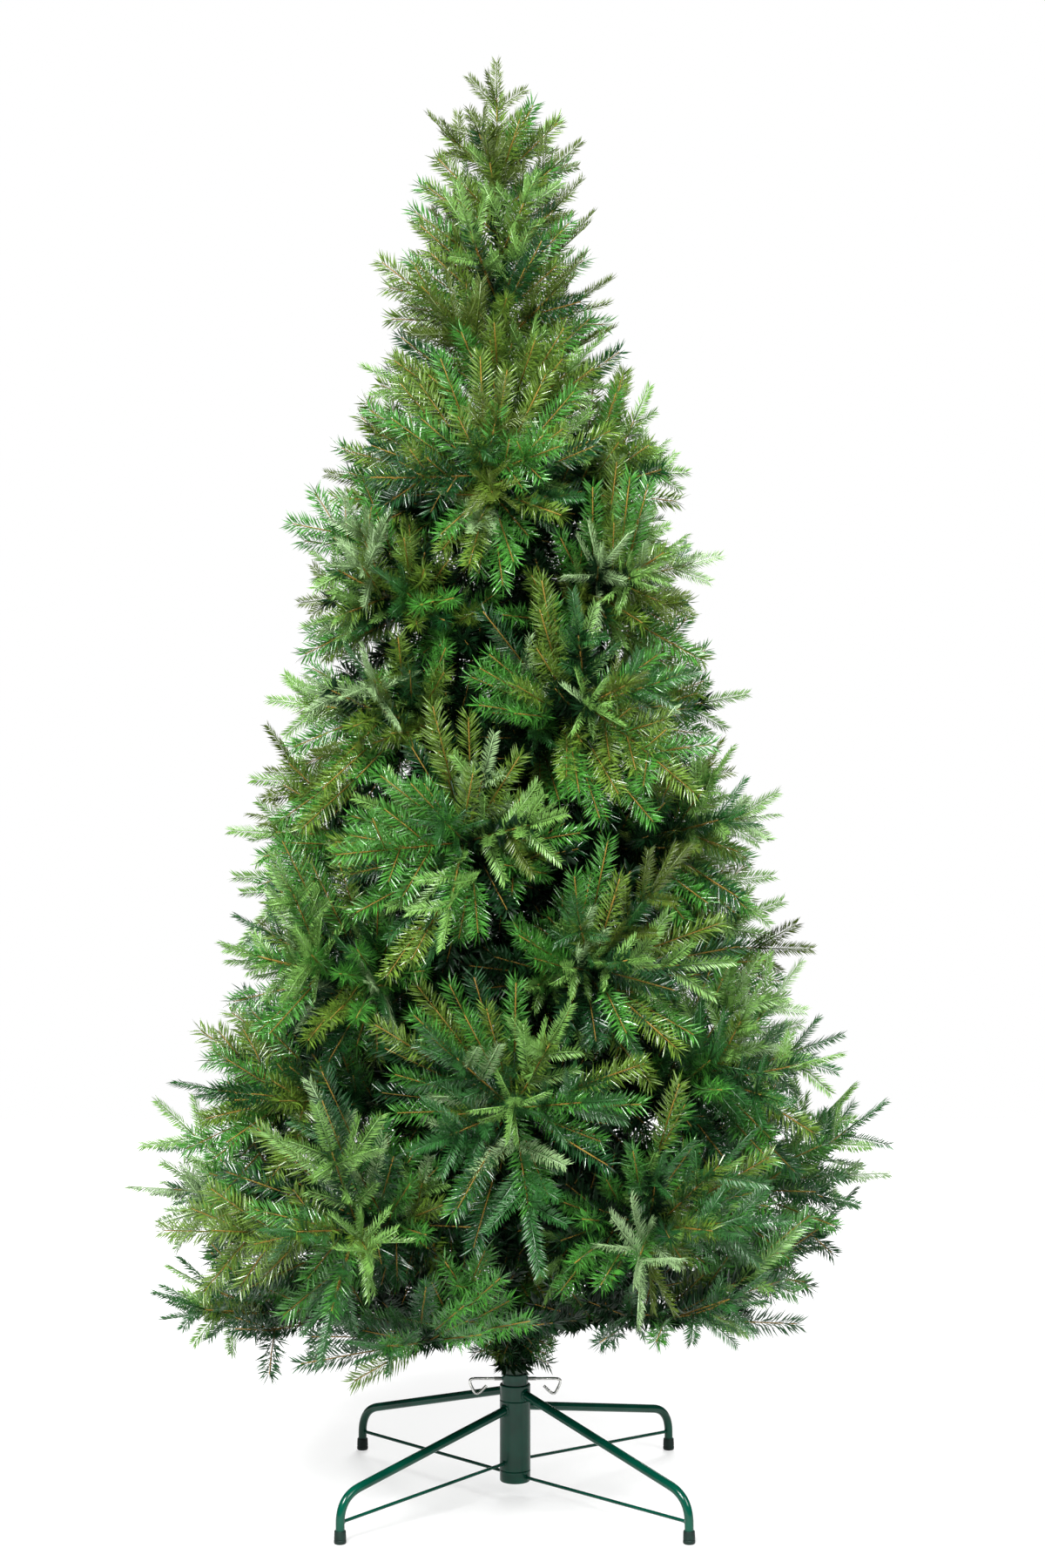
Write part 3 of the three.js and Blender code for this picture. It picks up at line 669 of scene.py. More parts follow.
def fill_crown():
    taken = finger_samples()
    samples = len(FINGER_SAMPLES)
    room = np.zeros((FILL_TRIES * samples, 3))
    grown = 0
    for _ in range(FILL_TRIES):
        height = rng.uniform(FILL_BOTTOM, FILL_TOP)
        limit = np.interp(height, CROWN_HEIGHTS, CROWN_RADII)
        depth = np.interp(height, FILL_NARROWS, (FILL_DEPTH, TOP_FILL_DEPTH))
        radius = limit * depth * sqrt(rng.random())
        heading = rng.uniform(0, 2 * pi)
        point = np.array([radius * cos(heading), radius * sin(heading), height])
        if not has_room(point):
            continue
        if ((taken - point) ** 2).sum(1).min() < FILL_SPACING ** 2:
            continue
        if grown and ((room[:grown] - point) ** 2).sum(1).min() < FILL_SPACING ** 2:
            continue
        nearest = segment_distances(point[None])[0]
        segment = int(nearest.argmin())
        step = SEGMENT_STEP[segment]
        reach = norm(step)
        share = (point - SEGMENT_START[segment]) @ step / reach ** 2 - FILL_SWEEP * nearest[segment] / reach
        base = SEGMENT_START[segment] + step * np.clip(share, *FILL_ROOTS)
        toward = point - base
        distance = norm(toward)
        direction = toward / distance
        length = min(FILL_LENGTH, distance)
        start = point - direction * length
        normal = unit(np.cross(direction, UP + direction[[1, 2, 0]]))
        add_finger(*film_kind(point), start, direction, normal, length, UP * 0)
        if distance > length:
            links.append((base, direction, UP + direction[[1, 2, 0]], UP * 0, distance - length, 0))
        room[grown:grown + samples] = [start + direction * length * part for part in FINGER_SAMPLES]
        grown += samples


for stem_index in range(len(stems)):
    dress_stem(stem_index)
for stem in stems:
    wrap_stem(stem)
for garland in GARLANDS:
    wrap_pole(*garland)
collar()
fill_crown()


# Where a finger is at a share of its length, with its own axes there
def finger_frame(start, direction, normal, bend, length, share):
    point = start + direction * (length * share)[:, None] + bend * (share * share)[:, None]
    tangent = unit(direction * length[:, None] + 2 * bend * share[:, None])
    lift = unit(normal - tangent * (normal * tangent).sum(-1, keepdims=True))
    return point, tangent, lift, np.cross(tangent, lift)


# Needle styles: count for each millimetre, length, width, where it is widest, angles off the twig at its root and
# tip, headings round the twig, twist, how far each is rolled, stray in heading, how much shorter the last ones are,
# and the length of finger from which its needles are full
NEEDLE_FOLD = 0.6
SHORT_FINGER_LEAST = 0.8
LEAST_NEEDLES = 6
NEEDLE_PLACE_SWAY = 0.3
FIRST_NEEDLE_AT = 0.01
OPENING_POWER = 2.2
OPENING_SPREAD = 5
ROOT_NEEDLE, ROOT_NEEDLES_TO = 0.6, 0.15
NEEDLE_LENGTH_SPREAD = 0.06
TWO_RANKS = (84, -84, 46, -46)
ALL_ROUND = (90, -90, 30, -30, 150, -150)
STYLES = {
    MOULDED: {
        "density": 1.2, "length": 20, "width": 1.9, "widest": 0.45, "root_angle": 55, "tip_angle": 34,
        "headings": TWO_RANKS, "twist": 0, "roll": 25, "jitter": 5, "taper": 0.2, "full_finger": 90,
    },
    FILM: {
        "density": 1.2, "length": 27, "width": 2.5, "widest": 0.5, "root_angle": 60, "tip_angle": 40,
        "headings": ALL_ROUND, "twist": 90, "roll": 40, "jitter": 10, "taper": 0.18, "full_finger": 60,
    },
    # Inner film: painted shade, in wide needles
    INNER_SHADE: {
        "density": 0.9, "length": 28, "width": 5.6, "widest": 0.5, "root_angle": 62, "tip_angle": 42,
        "headings": ALL_ROUND, "twist": 90, "roll": 40, "jitter": 12, "taper": 0.15, "full_finger": 60,
    },
}


def needles(rows, kind):
    style = STYLES[kind]
    made = columns(rows)
    length = made[-1]
    counts = np.maximum(LEAST_NEEDLES, np.round(style["density"] * length)).astype(int)
    owner = np.repeat(np.arange(len(rows)), counts)
    place = np.arange(len(owner)) - np.repeat(np.cumsum(counts) - counts, counts)
    total = len(owner)
    stray = rng.uniform(-NEEDLE_PLACE_SWAY, NEEDLE_PLACE_SWAY, total)
    share = np.clip((place + 0.5 + stray) / counts[owner], FIRST_NEEDLE_AT, 1)
    point, tangent, lift, sideways = finger_frame(*(column[owner] for column in made), share)
    headings = np.array(style["headings"], float)[place % len(style["headings"])]
    heading = np.radians(headings + style["twist"] * share + rng.normal(0, style["jitter"], total))
    radial = lift * np.cos(heading)[:, None] + sideways * np.sin(heading)[:, None]
    opening = mix(style["root_angle"], style["tip_angle"], share ** OPENING_POWER)
    opening = np.radians(opening + rng.normal(0, OPENING_SPREAD, total))
    aim = tangent * np.cos(opening)[:, None] + radial * np.sin(opening)[:, None]
    reach = style["length"] * (1 - style["taper"] * share ** 3)
    reach = reach * mix(ROOT_NEEDLE, 1, np.minimum(1, share / ROOT_NEEDLES_TO))
    reach = reach * np.clip(length[owner] / style["full_finger"], SHORT_FINGER_LEAST, 1)
    reach = (reach * rng.normal(1, NEEDLE_LENGTH_SPREAD, total))[:, None]
    flat = unit(tangent - aim * (tangent * aim).sum(-1, keepdims=True))
    face = np.cross(aim, flat)
    roll = np.radians(rng.uniform(-1, 1, total) * style["roll"])[:, None]
    across = (flat * np.cos(roll) + face * np.sin(roll)) * style["width"] / 2
    dip = np.cross(aim, across) * NEEDLE_FOLD
    widest = point + aim * reach * style["widest"] - dip
    corners = np.stack([point, widest + across, point + aim * reach, widest - across], axis=1)
    first = 4 * np.arange(total)[:, None]
    triangles = np.concatenate([first + (0, 1, 2), first + (0, 2, 3)])
    return corners.reshape(-1, 3), triangles


# Three-sided wires along fingers or ribs
WIRE_SIDES = 3
TWIG_RADII, TWIG_STEPS = (1.3, 0.8), 2
RIB_RADII, RIB_STEPS, LINK_STEPS = (1.3, 0.9), 3, 1


def wires(rows, root_radius, tip_radius, steps):
    made = columns(rows)
    rings = []
    for step in range(steps + 1):
        share = np.full(len(rows), step / steps)
        point, _, lift, sideways = finger_frame(*made, share)
        radius = mix(root_radius, tip_radius, step / steps)
        for angle in turns(WIRE_SIDES):
            rings.append(point + swung(lift, sideways, angle) * radius)
    vertices = np.stack(rings, axis=1)
    pattern = []
    for step in range(steps):
        for corner in range(WIRE_SIDES):
            a, b = (WIRE_SIDES * step + k % WIRE_SIDES for k in (corner, corner + 1))
            pattern += [(a, b, b + WIRE_SIDES), (a, b + WIRE_SIDES, a + WIRE_SIDES)]
    last = WIRE_SIDES * steps
    pattern += [(0, 2, 1), (last, last + 1, last + 2)]
    first = vertices.shape[1] * np.arange(len(rows))[:, None, None]
    return vertices.reshape(-1, 3), (first + np.array(pattern)).reshape(-1, 3)


# Materials, from eight-bit screen colours to the linear ones that a shader takes
def colour(red, green, blue):
    channels = (red / 255, green / 255, blue / 255)
    return tuple(c / 12.92 if c <= 0.04045 else ((c + 0.055) / 1.055) ** 2.4 for c in channels) + (1,)


def with_values(node, values):
    for socket, value in values.items():
        node.inputs[socket].default_value = value
    return node


def plain(name, base, roughness, specular=0.5, metallic=0.0):
    made = bpy.data.materials.new(name)
    made.use_nodes = True
    with_values(made.node_tree.nodes["Principled BSDF"], {
        "Base Color": base, "Roughness": roughness, "Specular IOR Level": specular, "Metallic": metallic,
    })
    return made


# A finish whose colour, roughness and relief vary with a noise in the object's own space
NOISE_DETAIL, FINE_NOISE_DETAIL = 6, 3
FINE_NOISE_SCALE = 9
DARK_BELOW, LIGHT_ABOVE = 0.35, 0.68
RELIEF_DEPTH = 0.0006


def varied(name, light, dark, roughness, scale, bump, metallic=0.0, specular=0.5):
    made = plain(name, light, roughness[0], specular, metallic)
    nodes, link = made.node_tree.nodes, made.node_tree.links.new
    shader = nodes["Principled BSDF"]
    place = nodes.new("ShaderNodeTexCoord")
    noise = with_values(nodes.new("ShaderNodeTexNoise"), {"Scale": scale, "Detail": NOISE_DETAIL})
    link(place.outputs["Object"], noise.inputs["Vector"])
    ramp = nodes.new("ShaderNodeValToRGB")
    for stop, position, shade in zip(ramp.color_ramp.elements, (DARK_BELOW, LIGHT_ABOVE), (dark, light)):
        stop.position = position
        stop.color = shade
    link(noise.outputs["Fac"], ramp.inputs["Fac"])
    link(ramp.outputs["Color"], shader.inputs["Base Color"])
    rough = with_values(nodes.new("ShaderNodeMapRange"), {"To Min": roughness[0], "To Max": roughness[1]})
    link(noise.outputs["Fac"], rough.inputs["Value"])
    link(rough.outputs["Result"], shader.inputs["Roughness"])
    fine_values = {"Scale": scale * FINE_NOISE_SCALE, "Detail": FINE_NOISE_DETAIL}
    fine = with_values(nodes.new("ShaderNodeTexNoise"), fine_values)
    link(place.outputs["Object"], fine.inputs["Vector"])
    relief = with_values(nodes.new("ShaderNodeBump"), {"Strength": bump, "Distance": RELIEF_DEPTH})
    link(fine.outputs["Fac"], relief.inputs["Height"])
    link(relief.outputs["Normal"], shader.inputs["Normal"])
    return made


# Needle colours, with roughness and specular level by kind
MOULDED_GLOSS, FILM_GLOSS, INNER_GLOSS = (0.35, 0.6), (0.28, 0.8), (0.4, 0.3)
NEEDLE_LOOKS = {
    MOULDED: (
        plain("moulded_sage", colour(122, 150, 102), *MOULDED_GLOSS),
        plain("moulded_green", colour(96, 136, 62), *MOULDED_GLOSS),
        plain("moulded_olive", colour(68, 86, 24), *MOULDED_GLOSS),
        # Painted shade: a darker moulded tint, dealt mostly to low sprigs
        plain("moulded_dark_painted_shade", colour(34, 80, 33), *MOULDED_GLOSS),
    ),
    FILM: (
        plain("film_green", colour(56, 114, 38), *FILM_GLOSS),
        plain("film_bright", colour(82, 110, 34), *FILM_GLOSS),
        # Painted shade: a darker film tint, dealt mostly low down
        plain("film_dark_painted_shade", colour(16, 60, 23), *FILM_GLOSS),
    ),
    # Painted shade: the deep film inside the crown and on the stems and pole
    INNER_SHADE: (plain("film_deep_painted_shade", colour(9, 38, 14), *INNER_GLOSS),),
}
TWIG_BROWN = plain("twig_brown", colour(124, 98, 42), 0.7, 0.1)
BRANCH_WIRE = varied("branch_wire", colour(64, 70, 38), colour(34, 44, 24), (0.5, 0.75), 90, 0.5)
POLE_PAINT = varied("pole_paint", colour(30, 62, 40), colour(20, 46, 30), (0.35, 0.55), 30, 0.2)
STAND_PAINT = varied("stand_paint", colour(2, 66, 50), colour(1, 52, 39), (0.12, 0.18), 26, 0.08, specular=0.25)
FOOT_RUBBER = varied("foot_rubber", colour(8, 34, 27), colour(3, 20, 16), (0.4, 0.6), 120, 0.5, specular=0.25)
CHROME = varied("screw_chrome", colour(214, 214, 208), colour(168, 170, 168), (0.12, 0.28), 200, 0.2, metallic=1.0)

foliage_nodes = [stem["name"] for stem in stems]


def finish_piece(name, mesh, look, replaced):
    piece = bpy.data.objects.new(name, mesh)
    bpy.context.scene.collection.objects.link(piece)
    mesh.materials.append(look)
    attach(piece, "root")
    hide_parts(*replaced)


def foliage_piece(name, vertices, triangles, look):
    mesh = bpy.data.meshes.new(name)
    mesh.vertices.add(len(vertices))
    mesh.vertices.foreach_set("co", leaned(vertices).astype(np.float32).ravel())
    mesh.loops.add(3 * len(triangles))
    mesh.loops.foreach_set("vertex_index", triangles.astype(np.int32).ravel())
    mesh.polygons.add(len(triangles))
    mesh.polygons.foreach_set("loop_start", np.arange(0, 3 * len(triangles), 3, dtype=np.int32))
    mesh.update(calc_edges=True)
    finish_piece(name, mesh, look, foliage_nodes)


def of_tint(kind, tint):
    return [row for row in fingers[kind] if row[5] == tint]


# Needles joined by kind and colour, and the twigs and ribs under them
for kind, looks in NEEDLE_LOOKS.items():
    for tint, look in enumerate(looks):
        foliage_piece(f"needles_{look.name}_1", *needles(of_tint(kind, tint), kind), look)
for tint, look in enumerate(NEEDLE_LOOKS[MOULDED]):
    foliage_piece(f"ribs_{look.name}", *wires(of_tint(MOULDED, tint), *TWIG_RADII, TWIG_STEPS), look)
twig_points, twig_triangles = wires(fingers[FILM] + fingers[INNER_SHADE], *TWIG_RADII, TWIG_STEPS)
rib_points, rib_triangles = wires(ribs, *RIB_RADII, RIB_STEPS)
brown_points = np.concatenate([twig_points, rib_points])
brown_triangles = np.concatenate([twig_triangles, rib_triangles + len(twig_points)])
foliage_piece("twigs", brown_points, brown_triangles, TWIG_BROWN)
# The wires to the fill fingers wear the deep film's painted shade
foliage_piece("inner_wires_painted_shade", *wires(links, *RIB_RADII, LINK_STEPS), NEEDLE_LOOKS[INNER_SHADE][0])


# Faces between rings of points, with end caps unless the rings close on themselves
def skin(rings, sides, closed=False):
    faces = []
    for ring in range(rings if closed else rings - 1):
        near, far = ring * sides, (ring + 1) % rings * sides
        for corner in range(sides):
            after = (corner + 1) % sides
            faces.append((near + corner, near + after, far + after, far + corner))
    if not closed:
        faces.append(tuple(reversed(range(sides))))
        faces.append(tuple(range((rings - 1) * sides, rings * sides)))
    return faces


# Swept tubes: points in millimetres, one radius at each point
ALONG_Y = 0.9


def sweep(points, radii, sides, closed=False):
    points = np.asarray(points, float)
    if closed:
        tangents = unit(np.roll(points, -1, axis=0) - np.roll(points, 1, axis=0))
    else:
        tangents = unit(np.gradient(points, axis=0))
    reference = np.array([0.0, 1.0, 0.0]) if abs(tangents[0][1]) < ALONG_Y else np.array([1.0, 0.0, 0.0])
    lift = unit(reference - tangents[0] * (reference @ tangents[0]))
    vertices = []
    for point, tangent, radius in zip(points, tangents, radii):
        lift = unit(lift - tangent * (lift @ tangent))
        sideways = np.cross(tangent, lift)
        for angle in turns(sides):
            vertices.append(point + swung(lift, sideways, angle) * radius)
    return np.array(vertices), skin(len(points), sides, closed)


# A turned shape from a profile of radius and height
def lathe(profile, sides):
    vertices = []
    for radius, height in profile:
        for angle in turns(sides):
            vertices.append((radius * cos(angle), radius * sin(angle), height))
    return np.array(vertices), skin(len(profile), sides)


def joined(shapes):
    vertices, faces, offset = [], [], 0
    for points, polygons in shapes:
        vertices.append(points)
        faces += [tuple(index + offset for index in polygon) for polygon in polygons]
        offset += len(points)
    return np.concatenate(vertices), faces


def turned_to(shape, heading):
    points, faces = shape
    angle = radians(heading)
    x, y, z = points.T
    turned_x = x * cos(angle) - y * sin(angle)
    turned_y = x * sin(angle) + y * cos(angle)
    return np.stack([turned_x, turned_y, z], axis=-1), faces


SMOOTH_ANGLE = radians(32)


def smooth_piece(name, shape, look, replaced, leans=False):
    points, faces = shape
    placed = leaned(points) if leans else points * MILLIMETRE
    mesh = bpy.data.meshes.new(name)
    mesh.from_pydata(placed.tolist(), [], faces)
    mesh.polygons.foreach_set("use_smooth", [True] * len(mesh.polygons))
    mesh.set_sharp_from_angle(angle=SMOOTH_ANGLE)
    mesh.update()
    finish_piece(name, mesh, look, replaced)


# A closed ripple of weld metal round the end of a rod that meets the tube
BEAD_STEPS, BEAD_SIDES = 36, 8
BEAD_SPREAD, BEAD_STANDOFF, BEAD_RIPPLE = 0.4, 0.3, 0.16


def weld_bead(rod_radius, height, slope, bead_radius, ripples, tube_radius=RING_RADIUS):
    points, radii = [], []
    ring = rod_radius + bead_radius * BEAD_SPREAD
    for angle in turns(BEAD_STEPS):
        y = ring * sin(angle)
        z = height + ring * cos(angle) / cos(slope)
        points.append((sqrt(tube_radius ** 2 - y * y) + bead_radius * BEAD_STANDOFF, y, z))
        radii.append(bead_radius * (1 + BEAD_RIPPLE * sin(ripples * angle)))
    return sweep(points, radii, BEAD_SIDES, closed=True)


def bezier(a, b, c, steps):
    shares = np.linspace(0, 1, steps)[:, None]
    return a * (1 - shares) ** 2 + 2 * b * shares * (1 - shares) + c * shares ** 2


# Legs: place, heading, and the heights of the leg and its brace on the tube. Beads: radius and ripples
LEG_SINK, BRACE_SINK, BRACE_FAR_SINK = 1.2, 0.8, 0.6
LEG_SIDES, BRACE_SIDES = 24, 14
STRAIGHT_STEPS, BEND_STEPS, DOWN_STEPS, BRACE_STEPS = 14, 18, 6, 9
LEG_BEAD, BRACE_BEAD, BRACE_FAR_BEAD = (1.7, 11), (1.1, 7), (1.0, 7)
LEGS = (
    ("front_right", -45, FIXED_LEG_HEIGHT, FIXED_BRACE_HEIGHT),
    ("back_left", 135, FIXED_LEG_HEIGHT, FIXED_BRACE_HEIGHT),
    ("front_left", -135, TURNING_LEG_HEIGHT, TURNING_BRACE_HEIGHT),
    ("back_right", 45, TURNING_LEG_HEIGHT, TURNING_BRACE_HEIGHT),
)


def leg_shape(weld_height):
    weld = np.array([RING_RADIUS - LEG_SINK, 0, weld_height])
    corner = np.array([FOOT_DISTANCE, 0, LEG_CORNER_HEIGHT])
    slope = unit(corner - weld)
    bend_start = corner - slope * LEG_BEND_LENGTH
    bend_end = corner - UP * LEG_BEND_LENGTH
    foot = np.array([FOOT_DISTANCE, 0, CAP_FLOOR + GAP])
    straight = weld + (bend_start - weld) * np.linspace(0, 1, STRAIGHT_STEPS)[:-1, None]
    curve = bezier(bend_start, corner, bend_end, BEND_STEPS)
    down = bend_end + (foot - bend_end) * np.linspace(0, 1, DOWN_STEPS)[1:, None]
    path = np.concatenate([straight, curve, down])
    tube = sweep(path, [LEG_RADIUS] * len(path), LEG_SIDES)
    angle = atan2(abs(slope[2]), slope[0])
    return joined([tube, weld_bead(LEG_RADIUS, weld_height, angle, *LEG_BEAD)])


def brace_shape(brace_height):
    inner = np.array([RING_RADIUS - BRACE_SINK, 0, brace_height])
    outer = np.array([FOOT_DISTANCE - LEG_RADIUS + BRACE_FAR_SINK, 0, BRACE_FOOT_HEIGHT])
    path = inner + (outer - inner) * np.linspace(0, 1, BRACE_STEPS)[:, None]
    rod = sweep(path, [BRACE_RADIUS] * len(path), BRACE_SIDES)
    bead = weld_bead(BRACE_RADIUS, brace_height, 0, *BRACE_BEAD)
    far_bead = weld_bead(BRACE_RADIUS, BRACE_FOOT_HEIGHT, 0, *BRACE_FAR_BEAD, LEG_RADIUS)
    far_points = far_bead[0] * (-1, 1, 1) + (FOOT_DISTANCE, 0, 0)
    far_faces = [tuple(reversed(face)) for face in far_bead[1]]
    return joined([rod, bead, (far_points, far_faces)])


# Turned profiles: radius and height at each edge
CAP_SIDES, TUBE_SIDES, POLE_SIDES = 32, 64, 48
AXIS_RADIUS = 0.5
CAP_PROFILE = (
    (0.4, 0), (CAP_RADIUS - 2.2, 0), (CAP_RADIUS - 0.9, 0.4), (CAP_RADIUS - 0.2, 1.3), (CAP_RADIUS, 2.4),
    (CAP_RADIUS - 0.1, 5.2), (CAP_RADIUS - 0.6, 5.7), (CAP_RADIUS - 0.6, 6.5), (CAP_RADIUS - 0.15, 7),
    (CAP_TOP_RADIUS + 0.15, CAP_HEIGHT - 1.2), (CAP_TOP_RADIUS - 0.1, CAP_HEIGHT - 0.3),
    (CAP_TOP_RADIUS - 0.5, CAP_HEIGHT), (LEG_RADIUS + 0.2, CAP_HEIGHT),
)

for place, heading, leg_height, brace_height in LEGS:
    leg_name, brace_name, cap_name = f"leg_{place}", f"brace_{place}", f"foot_cap_{place}"
    leg = turned_to(leg_shape(leg_height), heading)
    smooth_piece(f"steel_{leg_name}", leg, STAND_PAINT, [leg_name])
    brace = turned_to(brace_shape(brace_height), heading)
    smooth_piece(f"steel_{brace_name}", brace, STAND_PAINT, [brace_name])
    cap_points, cap_faces = lathe(CAP_PROFILE, CAP_SIDES)
    cap = turned_to((cap_points + (FOOT_DISTANCE, 0, 0), cap_faces), heading)
    smooth_piece(f"rubber_{cap_name}", cap, FOOT_RUBBER, [cap_name])

TUBE_PROFILE = (
    (AXIS_RADIUS, TUBE_BOTTOM), (RING_RADIUS - 2.4, TUBE_BOTTOM), (RING_RADIUS - 0.8, TUBE_BOTTOM + 0.6),
    (RING_RADIUS, TUBE_BOTTOM + 2), (RING_RADIUS, LOWER_RING_TOP - 0.8), (RING_RADIUS - 0.6, LOWER_RING_TOP),
    (TUBE_RADIUS, LOWER_RING_TOP), (TUBE_RADIUS, UPPER_RING_BOTTOM), (RING_RADIUS - 0.6, UPPER_RING_BOTTOM),
    (RING_RADIUS, UPPER_RING_BOTTOM + 0.8), (RING_RADIUS, UPPER_RING_TOP - 1.2),
    (RING_RADIUS - 0.8, UPPER_RING_TOP), (TUBE_RADIUS, UPPER_RING_TOP + 0.6), (TUBE_RADIUS, TUBE_TOP - 0.6),
    (TUBE_RADIUS - 0.5, TUBE_TOP), (TUBE_BORE_RADIUS + 0.5, TUBE_TOP), (TUBE_BORE_RADIUS, TUBE_TOP - 0.6),
    (TUBE_BORE_RADIUS, TUBE_BOTTOM + TUBE_FLOOR), (AXIS_RADIUS, TUBE_BOTTOM + TUBE_FLOOR),
)
SLEEVE_PROFILE = (
    (TUBE_RADIUS + GAP, LOWER_RING_TOP + GAP), (RING_RADIUS - 0.6, LOWER_RING_TOP + GAP),
    (RING_RADIUS, LOWER_RING_TOP + GAP + 0.8), (RING_RADIUS, UPPER_RING_BOTTOM - GAP - 0.8),
    (RING_RADIUS - 0.6, UPPER_RING_BOTTOM - GAP), (TUBE_RADIUS + GAP, UPPER_RING_BOTTOM - GAP),
)
smooth_piece("steel_stand_tube", lathe(TUBE_PROFILE, TUBE_SIDES), STAND_PAINT, ["stand_tube"])
smooth_piece("steel_stand_sleeve", lathe(SLEEVE_PROFILE, TUBE_SIDES), STAND_PAINT, ["stand_sleeve"])

# Thumbscrews: a threaded shank and a wire handle bent to a triangle below it
HANDLE_STEPS, HANDLE_SIDES, SHANK_SIDES = 6, 14, 16
SCREW_TIP_GAP = 1.6
THREAD_STEP = 0.5
THREAD_DEPTHS = (0.0, 0.45)
SCREWS = (("thumb_screw_right", 0), ("thumb_screw_back", 90), ("thumb_screw_left", 180))
HANDLE = (
    (SCREW_SHANK_END - 4, 0), (SCREW_REACH - 24, 0), (SCREW_REACH - 8, 0), (SCREW_REACH - 1.5, -1.2),
    (SCREW_REACH, -5), (SCREW_REACH - 3, -13), (SCREW_REACH - 8, -SCREW_DROP), (SCREW_REACH - 14, -SCREW_DROP + 1),
    (SCREW_REACH - 24, -SCREW_DROP / 2),
)


def rounded_path(points, steps):
    points = np.asarray(points, float)
    padded = np.concatenate([[2 * points[0] - points[1]], points, [2 * points[-1] - points[-2]]])
    made = []
    for index in range(len(points) - 1):
        a, b, c, d = padded[index:index + 4]
        for share in np.linspace(0, 1, steps, endpoint=False):
            made.append(0.5 * (
                2 * b + (c - a) * share + (2 * a - 5 * b + 4 * c - d) * share ** 2
                + (3 * b - a - 3 * c + d) * share ** 3
            ))
    made.append(points[-1])
    return np.array(made)


for screw_name, heading in SCREWS:
    wire_path = rounded_path([(x, 0, SCREW_HEIGHT + z) for x, z in HANDLE], HANDLE_STEPS)
    wire = sweep(wire_path, [SCREW_WIRE_RADIUS] * len(wire_path), HANDLE_SIDES)
    reaches = np.arange(POLE_RADII[0] + SCREW_TIP_GAP, SCREW_SHANK_END, THREAD_STEP)
    thread = [SCREW_RADIUS - THREAD_DEPTHS[step % 2] for step in range(len(reaches))]
    shank = sweep([(x, 0, SCREW_HEIGHT) for x in reaches], thread, SHANK_SIDES)
    screw = turned_to(joined([wire, shank]), heading)
    smooth_piece(f"wire_{screw_name}", screw, CHROME, [screw_name])

# Pole in three pushed-together lengths with a grooved bracket ring at each tier
POLE_SEAT_GAP = 0.6
RIM_EDGE, RIM_LIP = 0.8, 3
GROOVE_DEPTH, GROOVE_FROM = 1.6, 4
JOINT_LIP, JOINT_EDGE = 8, 1


def pole_shape():
    bottom = TUBE_BOTTOM + TUBE_FLOOR + POLE_SEAT_GAP
    profile = [(AXIS_RADIUS, bottom), (POLE_RADII[0], bottom)]
    features = sorted([(row[0], True) for row in TIERS] + [(joint, False) for joint in POLE_JOINTS])
    for height, is_bracket in features:
        radius = pole_radius(height)
        if is_bracket:
            rim = radius + BRACKET_RIM
            low, high = height - BRACKET_HALF_HEIGHT, height + BRACKET_HALF_HEIGHT
            profile += [
                (radius, low), (rim - RIM_EDGE, low), (rim, low + RIM_EDGE), (rim, low + RIM_LIP),
                (rim - GROOVE_DEPTH, low + GROOVE_FROM), (rim - GROOVE_DEPTH, high - GROOVE_FROM),
                (rim, high - RIM_LIP), (rim, high - RIM_EDGE), (rim - RIM_EDGE, high), (radius, high),
            ]
        else:
            below = pole_radius(height - JOINT_EDGE)
            profile += [
                (below, height - JOINT_LIP), (below, height - JOINT_EDGE),
                (below - RIM_EDGE, height), (radius, height),
            ]
    profile += [
        (POLE_RADII[2], POLE_TOP - JOINT_EDGE), (POLE_RADII[2] - JOINT_EDGE, POLE_TOP), (AXIS_RADIUS, POLE_TOP),
    ]
    return lathe(profile, POLE_SIDES)


smooth_piece("pole_lengths", pole_shape(), POLE_PAINT, ["trunk_pole"], leans=True)


# Twisted wire stems with a ripple along them
TWIST_STEP = 5
TWIST_RIPPLE, TWIST_PITCH = 0.12, 0.55
TWIST_SIDES = 7
STEM_TIP_RADIUS = 2.6


def twisted(points, root_radius, tip_radius):
    lengths = norm(np.diff(points, axis=0), axis=1)
    travelled = np.concatenate([[0], np.cumsum(lengths)])
    shares = np.linspace(0, travelled[-1], int(travelled[-1] / TWIST_STEP) + 2)
    path = np.stack([np.interp(shares, travelled, points[:, k]) for k in range(3)], axis=-1)
    ripple = 1 + TWIST_RIPPLE * np.sin(shares * TWIST_PITCH)
    return sweep(path, mix(root_radius, tip_radius, shares / travelled[-1]) * ripple, TWIST_SIDES)


bough_stems = [stem for stem in stems if stem["bough"] is not None]
bough_shapes = [twisted(stem["bough"], BOUGH_BASE_RADIUS, STEM_BASE_RADIUS) for stem in bough_stems]
bough_nodes = [stem["name"].replace("foliage_1", "bough") for stem in bough_stems]
smooth_piece("bough_wires", joined(bough_shapes), BRANCH_WIRE, bough_nodes, leans=True)
stem_shapes = [twisted(stem["points"], STEM_BASE_RADIUS, STEM_TIP_RADIUS) for stem in stems]
smooth_piece("branch_wires", joined(stem_shapes), BRANCH_WIRE, foliage_nodes, leans=True)

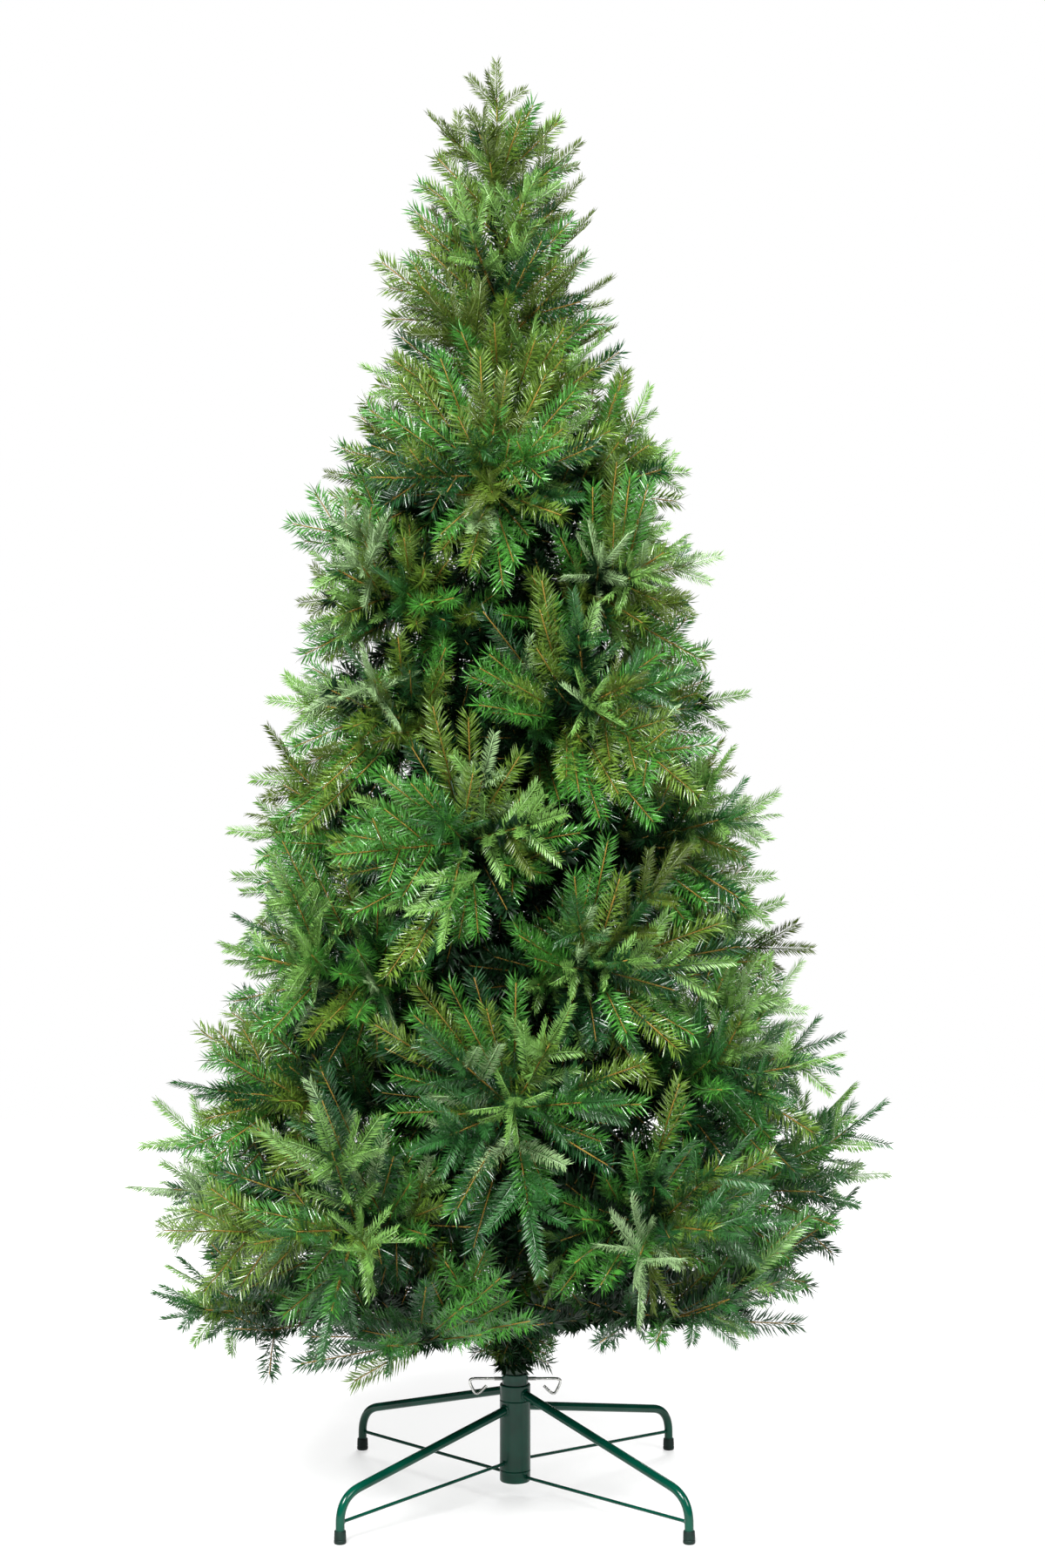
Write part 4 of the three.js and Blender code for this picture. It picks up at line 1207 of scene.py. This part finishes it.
# Studio: a floor that glows, a painted light dimmer near the tree and brighter away from it, a white backdrop, and
# broad lamps, two in front and one behind
FLOOR_SIZE, FLOOR_DROP = 8, 0.0004
FLOOR_BASE, FLOOR_ROUGHNESS, FLOOR_SPECULAR = (0.4, 0.4, 0.4, 1), 0.6, 0.2
GLOW_BY_DISTANCE = {"From Min": 0.8, "From Max": 2.4, "To Min": 0.6, "To Max": 0.95}
WHITE = (1, 1, 1, 1)
AMBIENT_STRENGTH, BACKDROP_STRENGTH = 0.05, 1.0
bpy.ops.mesh.primitive_plane_add(size=FLOOR_SIZE, location=(0, 0, -FLOOR_DROP))
floor = bpy.context.object
floor.name = "floor"
floor_look = plain("glowing_floor", FLOOR_BASE, FLOOR_ROUGHNESS, FLOOR_SPECULAR)
floor_nodes, floor_link = floor_look.node_tree.nodes, floor_look.node_tree.links.new
# Painted light: the floor's glow rises with distance from the tree
floor_shader = with_values(floor_nodes["Principled BSDF"], {"Emission Color": WHITE})
floor_place = floor_nodes.new("ShaderNodeTexCoord")
from_tree = floor_nodes.new("ShaderNodeVectorMath")
from_tree.operation = "LENGTH"
glow_by_distance = with_values(floor_nodes.new("ShaderNodeMapRange"), GLOW_BY_DISTANCE)
floor_link(floor_place.outputs["Object"], from_tree.inputs["Vector"])
floor_link(from_tree.outputs["Value"], glow_by_distance.inputs["Value"])
floor_link(glow_by_distance.outputs["Result"], floor_shader.inputs["Emission Strength"])
floor.data.materials.append(floor_look)

world = bpy.data.worlds.new("white_studio")
bpy.context.scene.world = world
world.use_nodes = True
world_nodes, world_link = world.node_tree.nodes, world.node_tree.links.new
ambient = with_values(world_nodes["Background"], {"Color": WHITE, "Strength": AMBIENT_STRENGTH})
backdrop = world_nodes.new("ShaderNodeBackground")
with_values(backdrop, {"Color": WHITE, "Strength": BACKDROP_STRENGTH})
seen = world_nodes.new("ShaderNodeLightPath")
chosen = world_nodes.new("ShaderNodeMixShader")
world_link(seen.outputs["Is Camera Ray"], chosen.inputs["Fac"])
world_link(ambient.outputs["Background"], chosen.inputs[1])
world_link(backdrop.outputs["Background"], chosen.inputs[2])
world_link(chosen.outputs["Shader"], world_nodes["World Output"].inputs["Surface"])

# Lamps: name, place, aim, size and watts
LAMPS = (
    ("key_lamp", (-1.6, -3.9, 4.4), (0, 0, 1.1), 2.2, 850),
    ("fill_lamp", (2.5, -2.7, 3.0), (0, 0, 1.1), 2.0, 190),
    ("back_lamp", (0.4, 3.6, 3.2), (0, 0, 1.0), 2.0, 170),
)
for name, place, aim, size, watts in LAMPS:
    lamp_data = bpy.data.lights.new(name, "AREA")
    lamp_data.size = size
    lamp_data.energy = watts
    lamp = bpy.data.objects.new(name, lamp_data)
    lamp.location = place
    toward = np.array(aim, float) - np.array(place, float)
    rise = atan2(toward[2], hypot(toward[0], toward[1]))
    lamp.rotation_euler = (pi / 2 + rise, 0, atan2(-toward[0], toward[1]))
    bpy.context.scene.collection.objects.link(lamp)

# The photo's view, from the stand's feet: millimetres of lens and sensor, metres of place, a share of picture height
LENS, SENSOR_WIDTH = 57.04, 36
CAMERA_PLACE = (0.0108, -3.63, 1.043)
PICTURE_SHIFT = -5 / 1800
camera_data = bpy.data.cameras.new("camera")
camera_data.lens = LENS
camera_data.sensor_width = SENSOR_WIDTH
camera_data.shift_y = PICTURE_SHIFT
camera = bpy.data.objects.new("camera", camera_data)
camera.location = CAMERA_PLACE
camera.rotation_euler = (pi / 2, 0, 0)
bpy.context.scene.collection.objects.link(camera)
bpy.context.scene.camera = camera
bpy.context.scene.view_settings.view_transform = "Standard"
